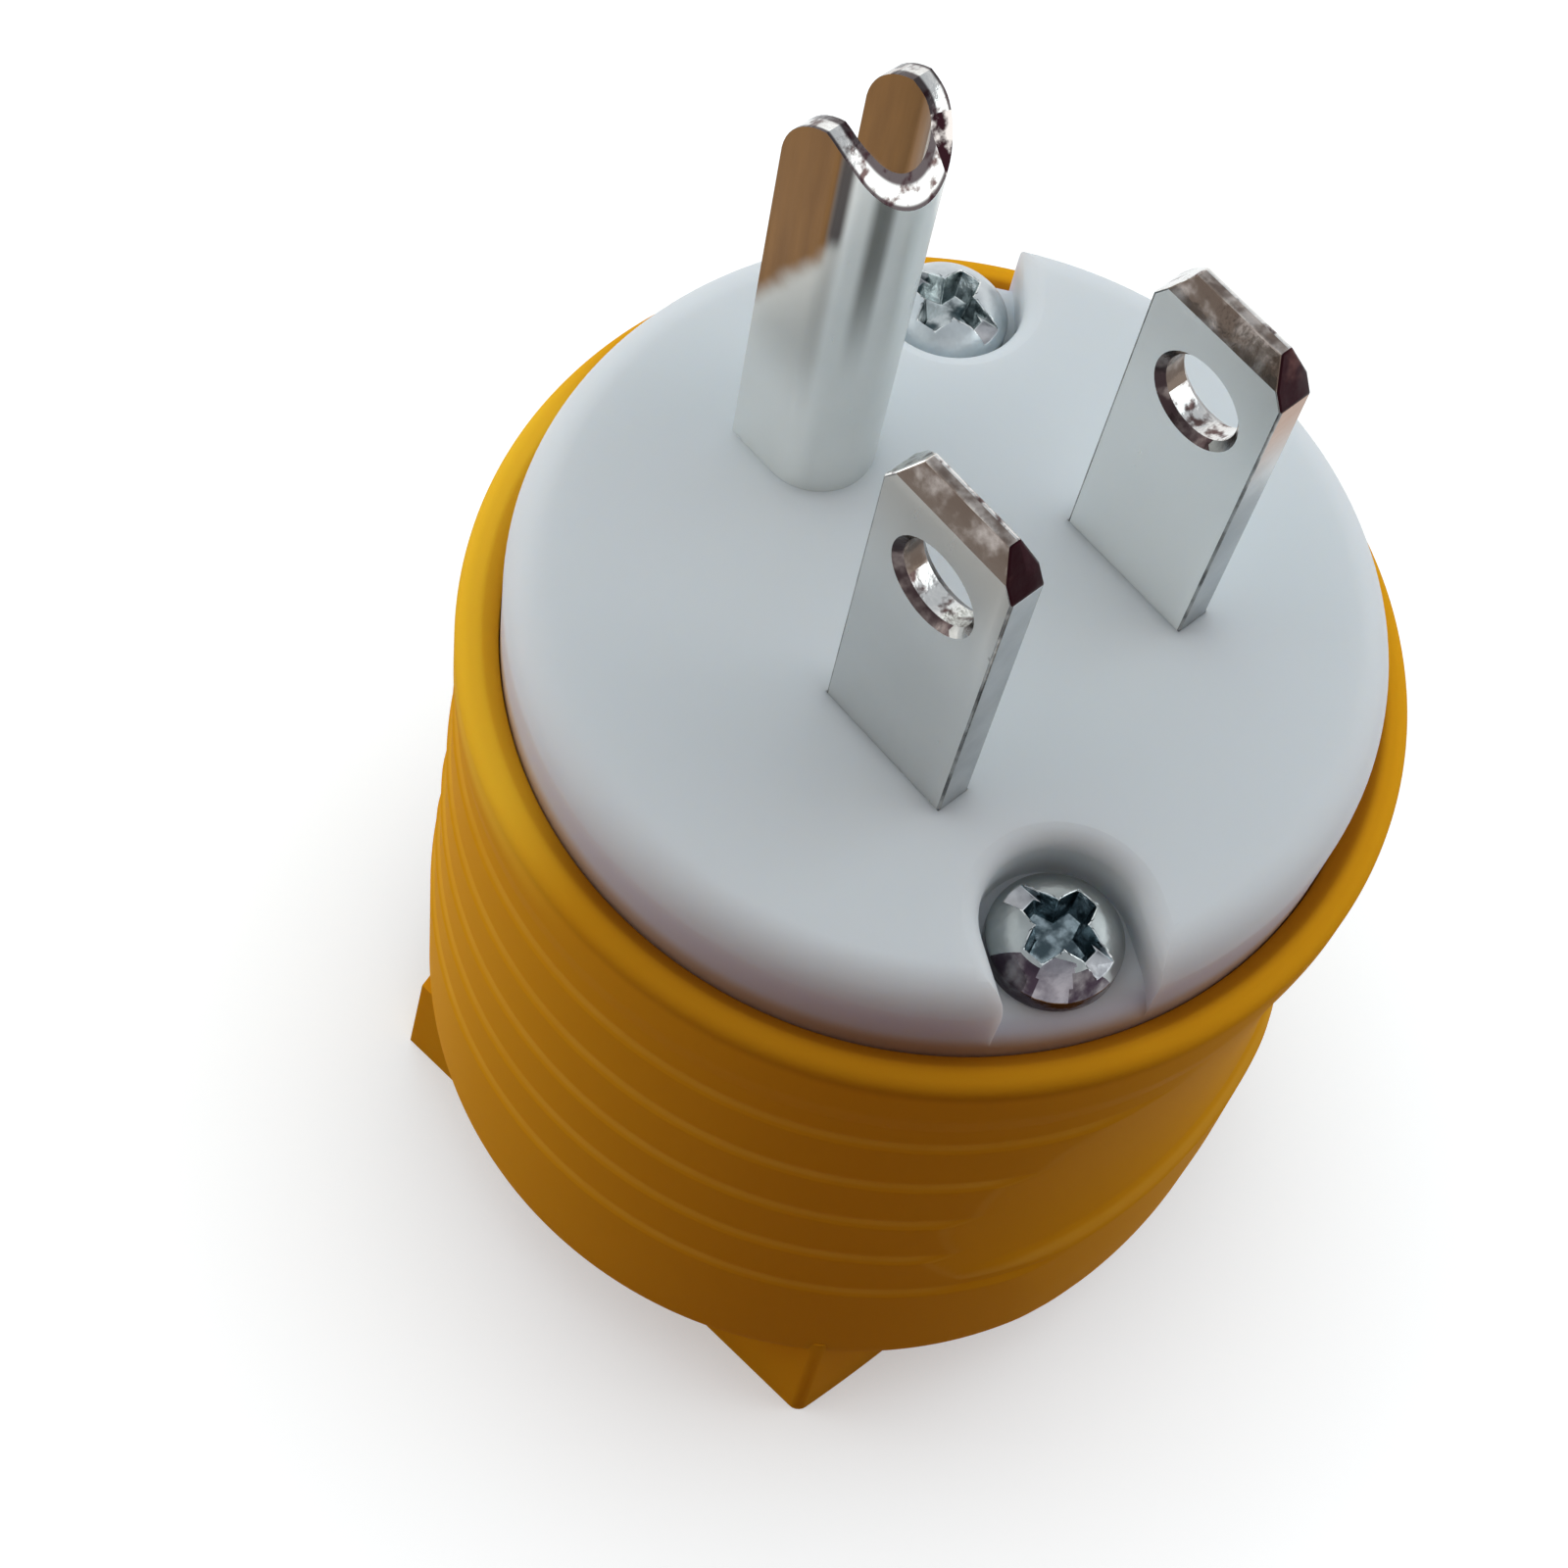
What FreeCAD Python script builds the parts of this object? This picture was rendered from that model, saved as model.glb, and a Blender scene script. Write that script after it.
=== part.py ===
import FreeCAD, Part
import math
import os

import Sketcher

# A wiring plug with two flat blades and a folded ground pin. It stands on its rear end with the
# prongs up. Z = 0 is the rear end, the Z axis is the plug's axis, and the ground pin is towards +Y.

doc = FreeCAD.newDocument("Plug")
sizes = doc.addObject("Spreadsheet::Sheet", "Sizes")

DRIVING_SIZES = {
    # Overall
    "body_height": 43.0,
    "shell_turn": 6.0,
    # Flat blades
    "blade_length": 16.7,
    "blade_width": 6.35,
    "blade_thick": 1.52,
    "blade_pitch": 12.7,
    "blade_line": 3.55,
    "blade_corner_rise": 1.8,
    "blade_corner_depth": 1.1,
    "blade_bevel_rise": 1.1,
    "blade_bevel_depth": 0.5,
    "blade_hole_height": 11.9,
    "blade_hole_bore": 3.5,
    "blade_hole_chamfer": 0.3,
    "root_width": 8.4,
    "root_depth": 18.0,
    # Folded ground pin
    "ground_from_blades": 11.89,
    "ground_width": 4.75,
    "ground_sheet": 0.85,
    "ground_length": 19.8,
    "ground_shoulder": 2.9,
    "ground_notch": 2.6,
    "ground_flank": 0.9975,
    "ground_flank_drop": 0.936,
    "ground_front_round": 2.6125,
    "ground_crest": 0.5225,
    "ground_back_round": 2.945,
    "ground_fold_depth": 8.5,
    "tang_width": 7.4,
    # White face
    "face_diameter": 34.9,
    "face_round": 1.6,
    "face_plate": 5.2,
    "face_depth": 9.0,
    "face_flange": 1.4,
    "face_boss": 3.0,
    # Face screws
    "screw_inset": 1.15,
    "screw_one_angle": -116.0,
    "screw_two_angle": 48.5,
    "head_seat_depth": 2.8,
    "head_pocket": 3.1,
    "pocket_round": 0.3,
    "head_diameter": 5.2,
    "head_height": 2.0,
    "head_edge": 0.7,
    "shank_diameter": 3.0,
    "slot_width": 0.8,
    "slot_depth": 0.7,
    "cross_reach": 0.62,
    "cross_width": 1.15,
    "cross_depth": 1.3,
    "shank_chamfer": 0.4,
    "face_screw_length": 17.0,
    "pass_clearance": 0.1,
    # Square nuts
    "nut_side": 5.5,
    "nut_thick": 2.4,
    "face_nut_below_seat": 4.0,
    # Yellow shell
    "lip_drop": 4.2,
    "lip_gap": 0.6,
    "lip_wall": 1.2,
    "lip_round": 0.6,
    "lip_inner_round": 0.25,
    "lip_height": 4.6,
    "neck_inset": 0.2,
    "first_ledge": 10.4,
    "ledge_pitch": 4.05,
    "ledge_step": 0.2,
    "skirt_edge": 0.7,
    "shell_bottom": 7.0,
    "seat_ledge": 2.65,
    "lower_ledge": 1.4,
    "cavity_floor": 10.0,
    "cavity_cone": 5.0,
    "boss_radius": 3.4,
    # Thumb scoops on two sides of the shell
    "scoop_depth": 0.4,
    "scoop_radius": 23.8,
    "scoop_top": 6.2,
    "scoop_middle": 17.8,
    "scoop_flare": 0.62,
    "scoop_crease": 25.0,
    "scoop_crease_flare": 0.45,
    "scoop_ledge": 0.9,
    "scoop_ledge_flare": 0.9,
    "scoop_skirt": 1.1,
    "scoop_skirt_drop": 7.0,
    # Rear block with the cord clamp
    "rear_width": 32.2,
    "rear_corner": 27.0,
    "rear_crown": 30.2,
    "rear_draft": 3.5,
    "rear_corner_round": 0.5,
    "cord_bore": 11.0,
    "jaw_screw_pitch": 22.0,
    "jaw_head_seat": 9.5,
    "jaw_head_pocket": 2.9,
    "jaw_screw_length": 19.0,
    "jaw_nut_depth": 5.0,
    # Inner terminal block
    "block_depth": 20.0,
    "block_clearance": 0.2,
    "scallop_radius": 4.0,
    "chamber_width": 9.6,
    "chamber_top": 8.0,
    # Terminal screws and their pressure plates
    "terminal_depth": 13.5,
    "terminal_head_diameter": 5.8,
    "terminal_head_height": 1.8,
    "terminal_head_edge": 0.63,
    "terminal_screw_length": 5.6,
    "plate_side": 7.0,
    "plate_thick": 1.2,
}

LEDGES = 5

for row, (alias, number) in enumerate(DRIVING_SIZES.items(), start=1):
    sizes.set(f"A{row}", alias)
    sizes.set(f"B{row}", str(number))
    sizes.setAlias(f"B{row}", alias)
doc.recompute()


# Derived places, as expressions of the sheet

def size(alias):
    return f"Sizes.{alias}"


FACE = size("body_height")
PLATE_UNDER = f"({FACE} - Sizes.face_plate)"
SEAT = f"({FACE} - Sizes.face_depth)"
LIP_TOP = f"({FACE} - Sizes.lip_drop)"
BLOCK_UNDER = f"({FACE} - Sizes.block_depth)"
TERMINAL = f"({FACE} - Sizes.terminal_depth)"
GROUND_CENTRE = "(Sizes.ground_from_blades - Sizes.blade_line)"
GROUND_FRONT = f"({GROUND_CENTRE} - Sizes.ground_width / 2)"
HALF_BLADE = "(Sizes.blade_thick / 2)"
SHANK = "(Sizes.shank_diameter / 2)"
SHANK_PASS = "(Sizes.shank_diameter / 2 + Sizes.pass_clearance)"
FACE_RIM = "(Sizes.face_diameter / 2)"
LIP_INSIDE = f"({FACE_RIM} + Sizes.lip_gap)"
LIP_OUTSIDE = f"({LIP_INSIDE} + Sizes.lip_wall)"
NECK = f"({LIP_OUTSIDE} - Sizes.neck_inset)"
CAVITY = f"({LIP_INSIDE} - Sizes.seat_ledge)"
SCREW_CIRCLE = f"({CAVITY} - Sizes.screw_inset)"
SCREW_ANGLES = {"one": size("screw_one_angle"), "two": size("screw_two_angle")}


def number(expression):
    return float(sizes.evalExpression(expression))


def bind(thing, path, expression):
    thing.setExpression(path, str(expression))


def on_ray(angle, along, across="0"):
    """A point at a distance along a ray from the axis and a distance to the left of it."""
    x = f"(({along}) * cos({angle}) - ({across}) * sin({angle}))"
    y = f"(({along}) * sin({angle}) + ({across}) * cos({angle}))"
    return x, y


# Modelling steps that every piece uses

def new_body(name, x="0", y="0", z="0", turn=None):
    body = doc.addObject("PartDesign::Body", name)
    body.Label = name
    if turn:
        body.Placement.Rotation = FreeCAD.Rotation(FreeCAD.Vector(0, 0, 1), 10)
        bind(body, "Placement.Rotation.Angle", turn)
    for path, value in (("x", x), ("y", y), ("z", z)):
        bind(body, f"Placement.Base.{path}", value)
    return body


def sketch_on(body, name, role, right="0", up="0", out="0"):
    sketch = body.newObject("Sketcher::SketchObject", f"{body.Name}_{name}")
    plane = next(item for item in body.Origin.OriginFeatures if item.Role == role)
    sketch.AttachmentSupport = [(plane, "")]
    sketch.MapMode = "FlatFace"
    for path, value in (("x", right), ("y", up), ("z", out)):
        bind(sketch, f"AttachmentOffset.Base.{path}", value)
    return sketch


def hold(sketch, kind, geometry, position, expression):
    """Fixes a point's distance from the sketch's origin along X or Y."""
    index = sketch.addConstraint(Sketcher.Constraint(kind, -1, 1, geometry, position, number(expression)))
    name = f"{kind}_{geometry}_{position}"
    sketch.renameConstraint(index, name)
    bind(sketch, f"Constraints.{name}", expression)


def hold_radius(sketch, geometry, expression):
    index = sketch.addConstraint(Sketcher.Constraint("Radius", geometry, number(expression)))
    name = f"Radius_{geometry}"
    sketch.renameConstraint(index, name)
    bind(sketch, f"Constraints.{name}", expression)


def arc_between(start, end, radius, centre_on_left):
    """The shorter arc between two points, and which of its ends is the start point."""
    middle = (start + end) * 0.5
    chord = end - start
    reach = math.sqrt(max(radius * radius - (chord.Length / 2) ** 2, 0.0))
    left = FreeCAD.Vector(-chord.y, chord.x, 0).normalize()
    centre = middle + left * (reach if centre_on_left else -reach)
    first, last = (start, end) if centre_on_left else (end, start)
    angles = [math.atan2(point.y - centre.y, point.x - centre.x) for point in (first, last)]
    if angles[1] < angles[0]:
        angles[1] += 2 * math.pi
    circle = Part.Circle(centre, FreeCAD.Vector(0, 0, 1), radius)
    return Part.ArcOfCircle(circle, *angles), (1, 2) if centre_on_left else (2, 1)


def outline(sketch, corners):
    """A closed outline. A corner is (x, y), or (x, y, radius, side) where an arc follows it."""
    points = [FreeCAD.Vector(number(corner[0]), number(corner[1]), 0) for corner in corners]
    sides = []
    for index, corner in enumerate(corners):
        start, end = points[index], points[(index + 1) % len(points)]
        if len(corner) == 2:
            sides.append((sketch.addGeometry(Part.LineSegment(start, end), False), (1, 2)))
        else:
            arc, ends = arc_between(start, end, number(corner[2]), corner[3] == "left")
            sides.append((sketch.addGeometry(arc, False), ends))
    for index, (geometry, ends) in enumerate(sides):
        before, before_ends = sides[index - 1]
        sketch.addConstraint(Sketcher.Constraint("Coincident", before, before_ends[1], geometry, ends[0]))
        hold(sketch, "DistanceX", geometry, ends[0], corners[index][0])
        hold(sketch, "DistanceY", geometry, ends[0], corners[index][1])
        if len(corners[index]) > 2:
            hold_radius(sketch, geometry, corners[index][2])


def circle(sketch, x, y, radius):
    centre = FreeCAD.Vector(number(x), number(y), 0)
    geometry = sketch.addGeometry(Part.Circle(centre, FreeCAD.Vector(0, 0, 1), number(radius)), False)
    hold(sketch, "DistanceX", geometry, 3, x)
    hold(sketch, "DistanceY", geometry, 3, y)
    hold_radius(sketch, geometry, radius)


def box_outline(x_low, y_low, x_high, y_high):
    return [(x_low, y_low), (x_high, y_low), (x_high, y_high), (x_low, y_high)]


def extrude(body, kind, sketch, length=None, backwards=False, both_ways=False):
    """A pad or a pocket. With no length it runs through everything."""
    feature = body.newObject(f"PartDesign::{kind}", f"{sketch.Name}_{kind.lower()}")
    feature.Profile = sketch
    sketch.Visibility = False
    if length is None:
        feature.Type = "ThroughAll"
    else:
        bind(feature, "Length", length)
    feature.Reversed = backwards
    if both_ways:
        feature.SideType = "Symmetric"
    return feature


def turn(body, kind, sketch):
    """A revolution or a groove about the sketch's own upright axis."""
    feature = body.newObject(f"PartDesign::{kind}", f"{sketch.Name}_{kind.lower()}")
    feature.Profile = sketch
    feature.ReferenceAxis = (sketch, ["V_Axis"])
    feature.Angle = 360
    return feature


def edges_where(shape, test):
    return [f"Edge{index}" for index, edge in enumerate(shape.Edges, start=1) if test(edge)]


def dress(body, kind, base, edges, expression):
    """A fillet or chamfer on the named edges of a feature."""
    feature = body.newObject(f"PartDesign::{kind}", f"{body.Name}_{kind.lower()}_{len(body.Group)}")
    feature.Base = (base, edges)
    bind(feature, "Radius" if kind == "Fillet" else "Size", expression)
    return feature


# Flat blades, each with a wider root under the face plate

def make_blade(name, side):
    middle = f"({side} * Sizes.blade_pitch / 2)"
    body = new_body(name, x=middle, y="-Sizes.blade_line", z=FACE)
    half, root = "(Sizes.blade_width / 2)", "(Sizes.root_width / 2)"
    corner = f"({half} - Sizes.blade_corner_depth)"
    tip, low, bottom = size("blade_length"), "(-Sizes.face_plate)", "(-Sizes.root_depth)"
    shoulder = f"({tip} - Sizes.blade_corner_rise)"
    sketch = sketch_on(body, "side", "YZ_Plane")
    outline(sketch, [
        (f"-{root}", bottom), (root, bottom), (root, low), (half, low), (half, shoulder), (corner, tip),
        (f"-{corner}", tip), (f"-{half}", shoulder), (f"-{half}", low), (f"-{root}", low),
    ])
    extrude(body, "Pad", sketch, size("blade_thick"), both_ways=True)
    for face in (-1, 1):
        bevel = sketch_on(body, f"bevel_{'left' if face < 0 else 'right'}", "XZ_Plane")
        edge = f"({face} * {HALF_BLADE})"
        outline(bevel, [
            (edge, f"({tip} - Sizes.blade_bevel_rise)"),
            (edge, f"({tip} + 1)"),
            (f"({face} * ({HALF_BLADE} - Sizes.blade_bevel_depth))", f"({tip} + 1)"),
            (f"({face} * ({HALF_BLADE} - Sizes.blade_bevel_depth))", tip),
        ])
        extrude(body, "Pocket", bevel, "2 * Sizes.root_width", both_ways=True)
    holes = sketch_on(body, "holes", "YZ_Plane")
    circle(holes, "0", size("blade_hole_height"), "Sizes.blade_hole_bore / 2")
    circle(holes, "0", "-Sizes.terminal_depth", SHANK)
    bored = extrude(body, "Pocket", holes, "2 * Sizes.blade_pitch", both_ways=True)
    doc.recompute()
    bore = number("Sizes.blade_hole_bore / 2")
    rims = edges_where(bored.Shape, lambda edge: hasattr(edge.Curve, "Radius")
                       and abs(edge.Curve.Radius - bore) < 1e-4 and len(edge.Vertexes) == 1)
    dress(body, "Chamfer", bored, rims, size("blade_hole_chamfer"))
    return body


# Ground pin: a sheet folded into a half-round front with two legs, cut to two rounded ends,
# and carrying on as a flat tang for its terminal screw

def fold_outline(width, sheet, back):
    outer, inner = f"({width} / 2)", f"({width} / 2 - {sheet})"
    return [
        (f"-{outer}", back), (f"-{outer}", "0", outer, "left"), ("0", f"-{outer}", outer, "left"),
        (outer, "0"), (outer, back), (inner, back), (inner, "0", inner, "right"),
        ("0", f"-{inner}", inner, "right"), (f"-{inner}", "0"), (f"-{inner}", back),
    ]


def make_ground_pin(name):
    body = new_body(name, y=GROUND_CENTRE, z=FACE)
    width, sheet, tip = size("ground_width"), size("ground_sheet"), size("ground_length")
    half = f"({width} / 2)"
    fold = sketch_on(body, "fold", "XY_Plane", out="-Sizes.ground_fold_depth")
    outline(fold, fold_outline(width, sheet, half))
    extrude(body, "Pad", fold, f"{tip} + Sizes.ground_fold_depth")
    ends = sketch_on(body, "ends", "YZ_Plane")
    above, front, back = f"({tip} + 2)", f"(-{half} - 1)", f"({half} + 1)"
    notch, shoulder = f"({tip} - Sizes.ground_notch)", f"({tip} - Sizes.ground_shoulder)"
    flank = f"({tip} - Sizes.ground_flank_drop)"
    outline(ends, [
        (front, above), (front, notch), (f"-{half}", notch),
        ("-Sizes.ground_flank", flank, size("ground_front_round"), "right"),
        (size("ground_crest"), tip, size("ground_back_round"), "right"),
        (half, shoulder), (back, shoulder), (back, above),
    ])
    extrude(body, "Pocket", ends, f"2 * {width}", both_ways=True)
    tang = sketch_on(body, "tang", "XZ_Plane", out=f"-({sheet} - {half})")
    side = "(Sizes.tang_width / 2)"
    outline(tang, box_outline(f"-{side}", "-Sizes.root_depth", side, "-Sizes.face_plate"))
    extrude(body, "Pad", tang, sheet)
    hole = sketch_on(body, "hole", "XZ_Plane")
    circle(hole, "0", "-Sizes.terminal_depth", SHANK)
    extrude(body, "Pocket", hole, f"4 * {width}", both_ways=True)
    return body


# White face: a plate with a rounded rim and a skirt that stands in the shell's lip

def head_pocket_outline(angle):
    wide = size("head_pocket")
    centre, outside = SCREW_CIRCLE, "(Sizes.face_diameter)"
    return [
        (*on_ray(angle, outside, wide),), (*on_ray(angle, centre, wide), wide, "left"),
        (*on_ray(angle, f"{centre} - {wide}"), wide, "left"),
        (*on_ray(angle, centre, f"-{wide}"),), (*on_ray(angle, outside, f"-{wide}"),),
    ]


def round_pocket_edges(body):
    """Rounds the pockets' upper edges, across the flat and down the rounded rim."""
    doc.recompute()
    shape, floor = body.Tip.Shape, number(f"{FACE} - Sizes.head_seat_depth")

    def is_wall(face):
        box = face.BoundBox
        return abs(box.ZMin - floor) < 1e-3 and box.ZLength > 0.1 and face.normalAt(0, 0).z < 0.01

    walls = [face for face in shape.Faces if is_wall(face)]

    def upper(edge):
        level = edge.BoundBox.ZMax - floor > 0.2 and edge.BoundBox.ZLength < 0.9 * edge.Length
        return level and any(edge.isSame(other) for wall in walls for other in wall.Edges)

    return dress(body, "Fillet", body.Tip, edges_where(shape, upper), size("pocket_round"))


def make_front_face(name):
    body = new_body(name)
    rim, inside = FACE_RIM, f"({CAVITY} + Sizes.block_clearance)"
    flange, round_off = LIP_INSIDE, size("face_round")
    section = sketch_on(body, "section", "XZ_Plane")
    outline(section, [
        ("0", FACE), (f"({rim} - {round_off})", FACE, round_off, "right"), (rim, f"({FACE} - {round_off})"),
        (rim, f"({SEAT} + Sizes.face_flange)"), (flange, f"({SEAT} + Sizes.face_flange)"),
        (flange, SEAT), (inside, SEAT), (inside, PLATE_UNDER), ("0", PLATE_UNDER),
    ])
    turn(body, "Revolution", section)
    bosses = sketch_on(body, "bosses", "XY_Plane", out=SEAT)
    for angle in SCREW_ANGLES.values():
        circle(bosses, *on_ray(angle, SCREW_CIRCLE), size("face_boss"))
    extrude(body, "Pad", bosses, f"{PLATE_UNDER} - {SEAT}")
    for label, angle in SCREW_ANGLES.items():
        pocket = sketch_on(body, f"head_pocket_{label}", "XY_Plane", out=FACE)
        outline(pocket, head_pocket_outline(angle))
        extrude(body, "Pocket", pocket, size("head_seat_depth"))
    round_pocket_edges(body)
    passages = sketch_on(body, "screw_passages", "XY_Plane", out=FACE)
    for angle in SCREW_ANGLES.values():
        circle(passages, *on_ray(angle, SCREW_CIRCLE), SHANK_PASS)
    extrude(body, "Pocket", passages)
    slots = sketch_on(body, "blade_slots", "XY_Plane", out=FACE)
    half = "(Sizes.blade_width / 2)"
    for side in (-1, 1):
        middle = f"({side} * Sizes.blade_pitch / 2)"
        outline(slots, box_outline(f"({middle} - {HALF_BLADE})", f"(-Sizes.blade_line - {half})",
                                   f"({middle} + {HALF_BLADE})", f"(-Sizes.blade_line + {half})"))
    extrude(body, "Pocket", slots)
    ground = sketch_on(body, "ground_slot", "XY_Plane", up=GROUND_CENTRE, out=FACE)
    outline(ground, fold_outline(size("ground_width"), size("ground_sheet"), "(Sizes.ground_width / 2)"))
    extrude(body, "Pocket", ground)
    return body


# Terminal block: an insulating core behind the face, with an open chamber at each terminal

def make_terminal_block(name):
    body = new_body(name)
    disc = sketch_on(body, "disc", "XY_Plane", out=BLOCK_UNDER)
    circle(disc, "0", "0", f"{CAVITY} - Sizes.block_clearance")
    extrude(body, "Pad", disc, f"{PLATE_UNDER} - {BLOCK_UNDER}")
    scallops = sketch_on(body, "scallops", "XY_Plane", out=FACE)
    for angle in SCREW_ANGLES.values():
        circle(scallops, *on_ray(angle, SCREW_CIRCLE), size("scallop_radius"))
    extrude(body, "Pocket", scallops)
    roots = sketch_on(body, "roots", "XY_Plane", out=PLATE_UNDER)
    for side in (-1, 1):
        inner = f"({side} * (Sizes.blade_pitch / 2 - {HALF_BLADE}))"
        outer = f"({side} * (Sizes.blade_pitch / 2 + {HALF_BLADE}))"
        low, high = (outer, inner) if side < 0 else (inner, outer)
        outline(roots, box_outline(low, "(-Sizes.blade_line - Sizes.root_width / 2)",
                                   high, "(-Sizes.blade_line + Sizes.root_width / 2)"))
    extrude(body, "Pocket", roots, "Sizes.root_depth - Sizes.face_plate")
    chambers = sketch_on(body, "chambers", "XY_Plane", out=f"({FACE} - Sizes.chamber_top)")
    for side in (-1, 1):
        inner = f"({side} * (Sizes.blade_pitch / 2 + {HALF_BLADE}))"
        outer = f"({side} * 2 * {CAVITY})"
        low, high = (outer, inner) if side < 0 else (inner, outer)
        outline(chambers, box_outline(low, "(-Sizes.blade_line - Sizes.chamber_width / 2)",
                                      high, "(-Sizes.blade_line + Sizes.chamber_width / 2)"))
    extrude(body, "Pocket", chambers)
    ground = sketch_on(body, "ground_chamber", "XY_Plane", out=PLATE_UNDER)
    side = "(Sizes.tang_width / 2)"
    outline(ground, box_outline(f"-{side}", GROUND_FRONT, side, f"(2 * {CAVITY})"))
    extrude(body, "Pocket", ground)
    across = sketch_on(body, "blade_screw_ends", "YZ_Plane")
    circle(across, "-Sizes.blade_line", TERMINAL, SHANK_PASS)
    extrude(body, "Pocket", across, "Sizes.blade_pitch", both_ways=True)
    behind = sketch_on(body, "ground_screw_end", "XZ_Plane", out=f"-{GROUND_FRONT}")
    circle(behind, "0", TERMINAL, SHANK_PASS)
    extrude(body, "Pocket", behind, "Sizes.terminal_screw_length", backwards=True)
    return body


# Rear block's outline: flat on two sides and gently bowed on the other two

def rear_outline():
    x, y = "(Sizes.rear_width / 2)", "(Sizes.rear_corner / 2)"
    rise = "((Sizes.rear_crown - Sizes.rear_corner) / 2)"
    bow = f"(({x} * {x} + {rise} * {rise}) / (2 * {rise}))"
    return [(f"-{x}", f"-{y}", bow, "left"), (x, f"-{y}"), (x, y, bow, "left"), (f"-{x}", y)]


def add_rear_block(body, height):
    """A drafted block that is smaller at its top, with rounded upright edges."""
    sketch = sketch_on(body, "rear_outline", "XY_Plane")
    outline(sketch, rear_outline())
    block = extrude(body, "Pad", sketch, height)
    bind(block, "TaperAngle", "-Sizes.rear_draft")
    return block


def round_rear_corners(body, block):
    doc.recompute()
    upright = edges_where(block.Shape, lambda edge: edge.BoundBox.ZLength > edge.Length / 2)
    return dress(body, "Fillet", block, upright, size("rear_corner_round"))


# Yellow shell

def shell_section():
    """Half of the shell's outside: skirt, ledges that step in towards the face, neck and lip."""
    skirt, edge = f"({NECK} + {LEDGES} * Sizes.ledge_step)", size("skirt_edge")
    bottom, outer, lip_round = size("shell_bottom"), LIP_OUTSIDE, size("lip_round")
    corners = [("0", bottom), (f"({skirt} - {edge})", bottom, edge, "left"), (skirt, f"({bottom} + {edge})")]
    for step in range(LEDGES, 0, -1):
        radius = f"({NECK} + {step} * Sizes.ledge_step)"
        height = f"({FACE} - Sizes.first_ledge - {step - 1} * Sizes.ledge_pitch)"
        corners.append((radius, f"({height} - Sizes.ledge_step)"))
        corners.append((f"({radius} - Sizes.ledge_step)", height))
    corners += [
        (NECK, f"({LIP_TOP} - Sizes.lip_height)"),
        (outer, f"({LIP_TOP} - Sizes.lip_height * 2 / 3)"),
        (outer, f"({LIP_TOP} - {lip_round})", lip_round, "left"),
        (f"({outer} - {lip_round})", LIP_TOP), ("0", LIP_TOP),
    ]
    return corners


def cavity_section():
    lower, floor, edge = f"({CAVITY} - Sizes.lower_ledge)", size("cavity_floor"), size("lip_inner_round")
    return [
        ("0", FACE), (f"({LIP_INSIDE} + {edge})", FACE), (f"({LIP_INSIDE} + {edge})", LIP_TOP, edge, "left"),
        (LIP_INSIDE, f"({LIP_TOP} - {edge})"), (LIP_INSIDE, SEAT), (CAVITY, SEAT), (CAVITY, BLOCK_UNDER),
        (lower, BLOCK_UNDER), (lower, f"({floor} + Sizes.cavity_cone)"), ("(Sizes.cord_bore / 2)", floor),
        ("0", floor),
    ]


def scoop_section():
    """The region outside a thumb scoop, about an axis beyond the plug's own."""
    top, crease = f"({FACE} - Sizes.scoop_top)", f"({FACE} - Sizes.scoop_crease)"
    middle, outside = f"({FACE} - Sizes.scoop_middle)", "(-Sizes.scoop_radius - 8)"
    deep, skirt = "(-Sizes.scoop_radius)", "(-Sizes.scoop_radius - Sizes.scoop_skirt)"
    upper_flare, lower_flare = size("scoop_flare"), size("scoop_crease_flare")
    ledge = "(-Sizes.scoop_radius - Sizes.scoop_ledge_flare)"
    skirt_top = f"({crease} - Sizes.scoop_skirt_drop)"

    def bow(rise, reach):
        return f"((({rise}) ^ 2 + {reach} ^ 2) / (2 * {reach}))"

    return [
        (outside, top), (outside, "0"), (skirt, "0"), (skirt, skirt_top),
        (ledge, f"({crease} - Sizes.scoop_ledge)"),
        (f"(-Sizes.scoop_radius - {lower_flare})", crease, bow(f"{middle} - {crease}", lower_flare), "left"),
        (deep, middle, bow(f"{top} - {middle}", upper_flare), "left"),
        (f"(-Sizes.scoop_radius - {upper_flare})", top),
    ]


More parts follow.
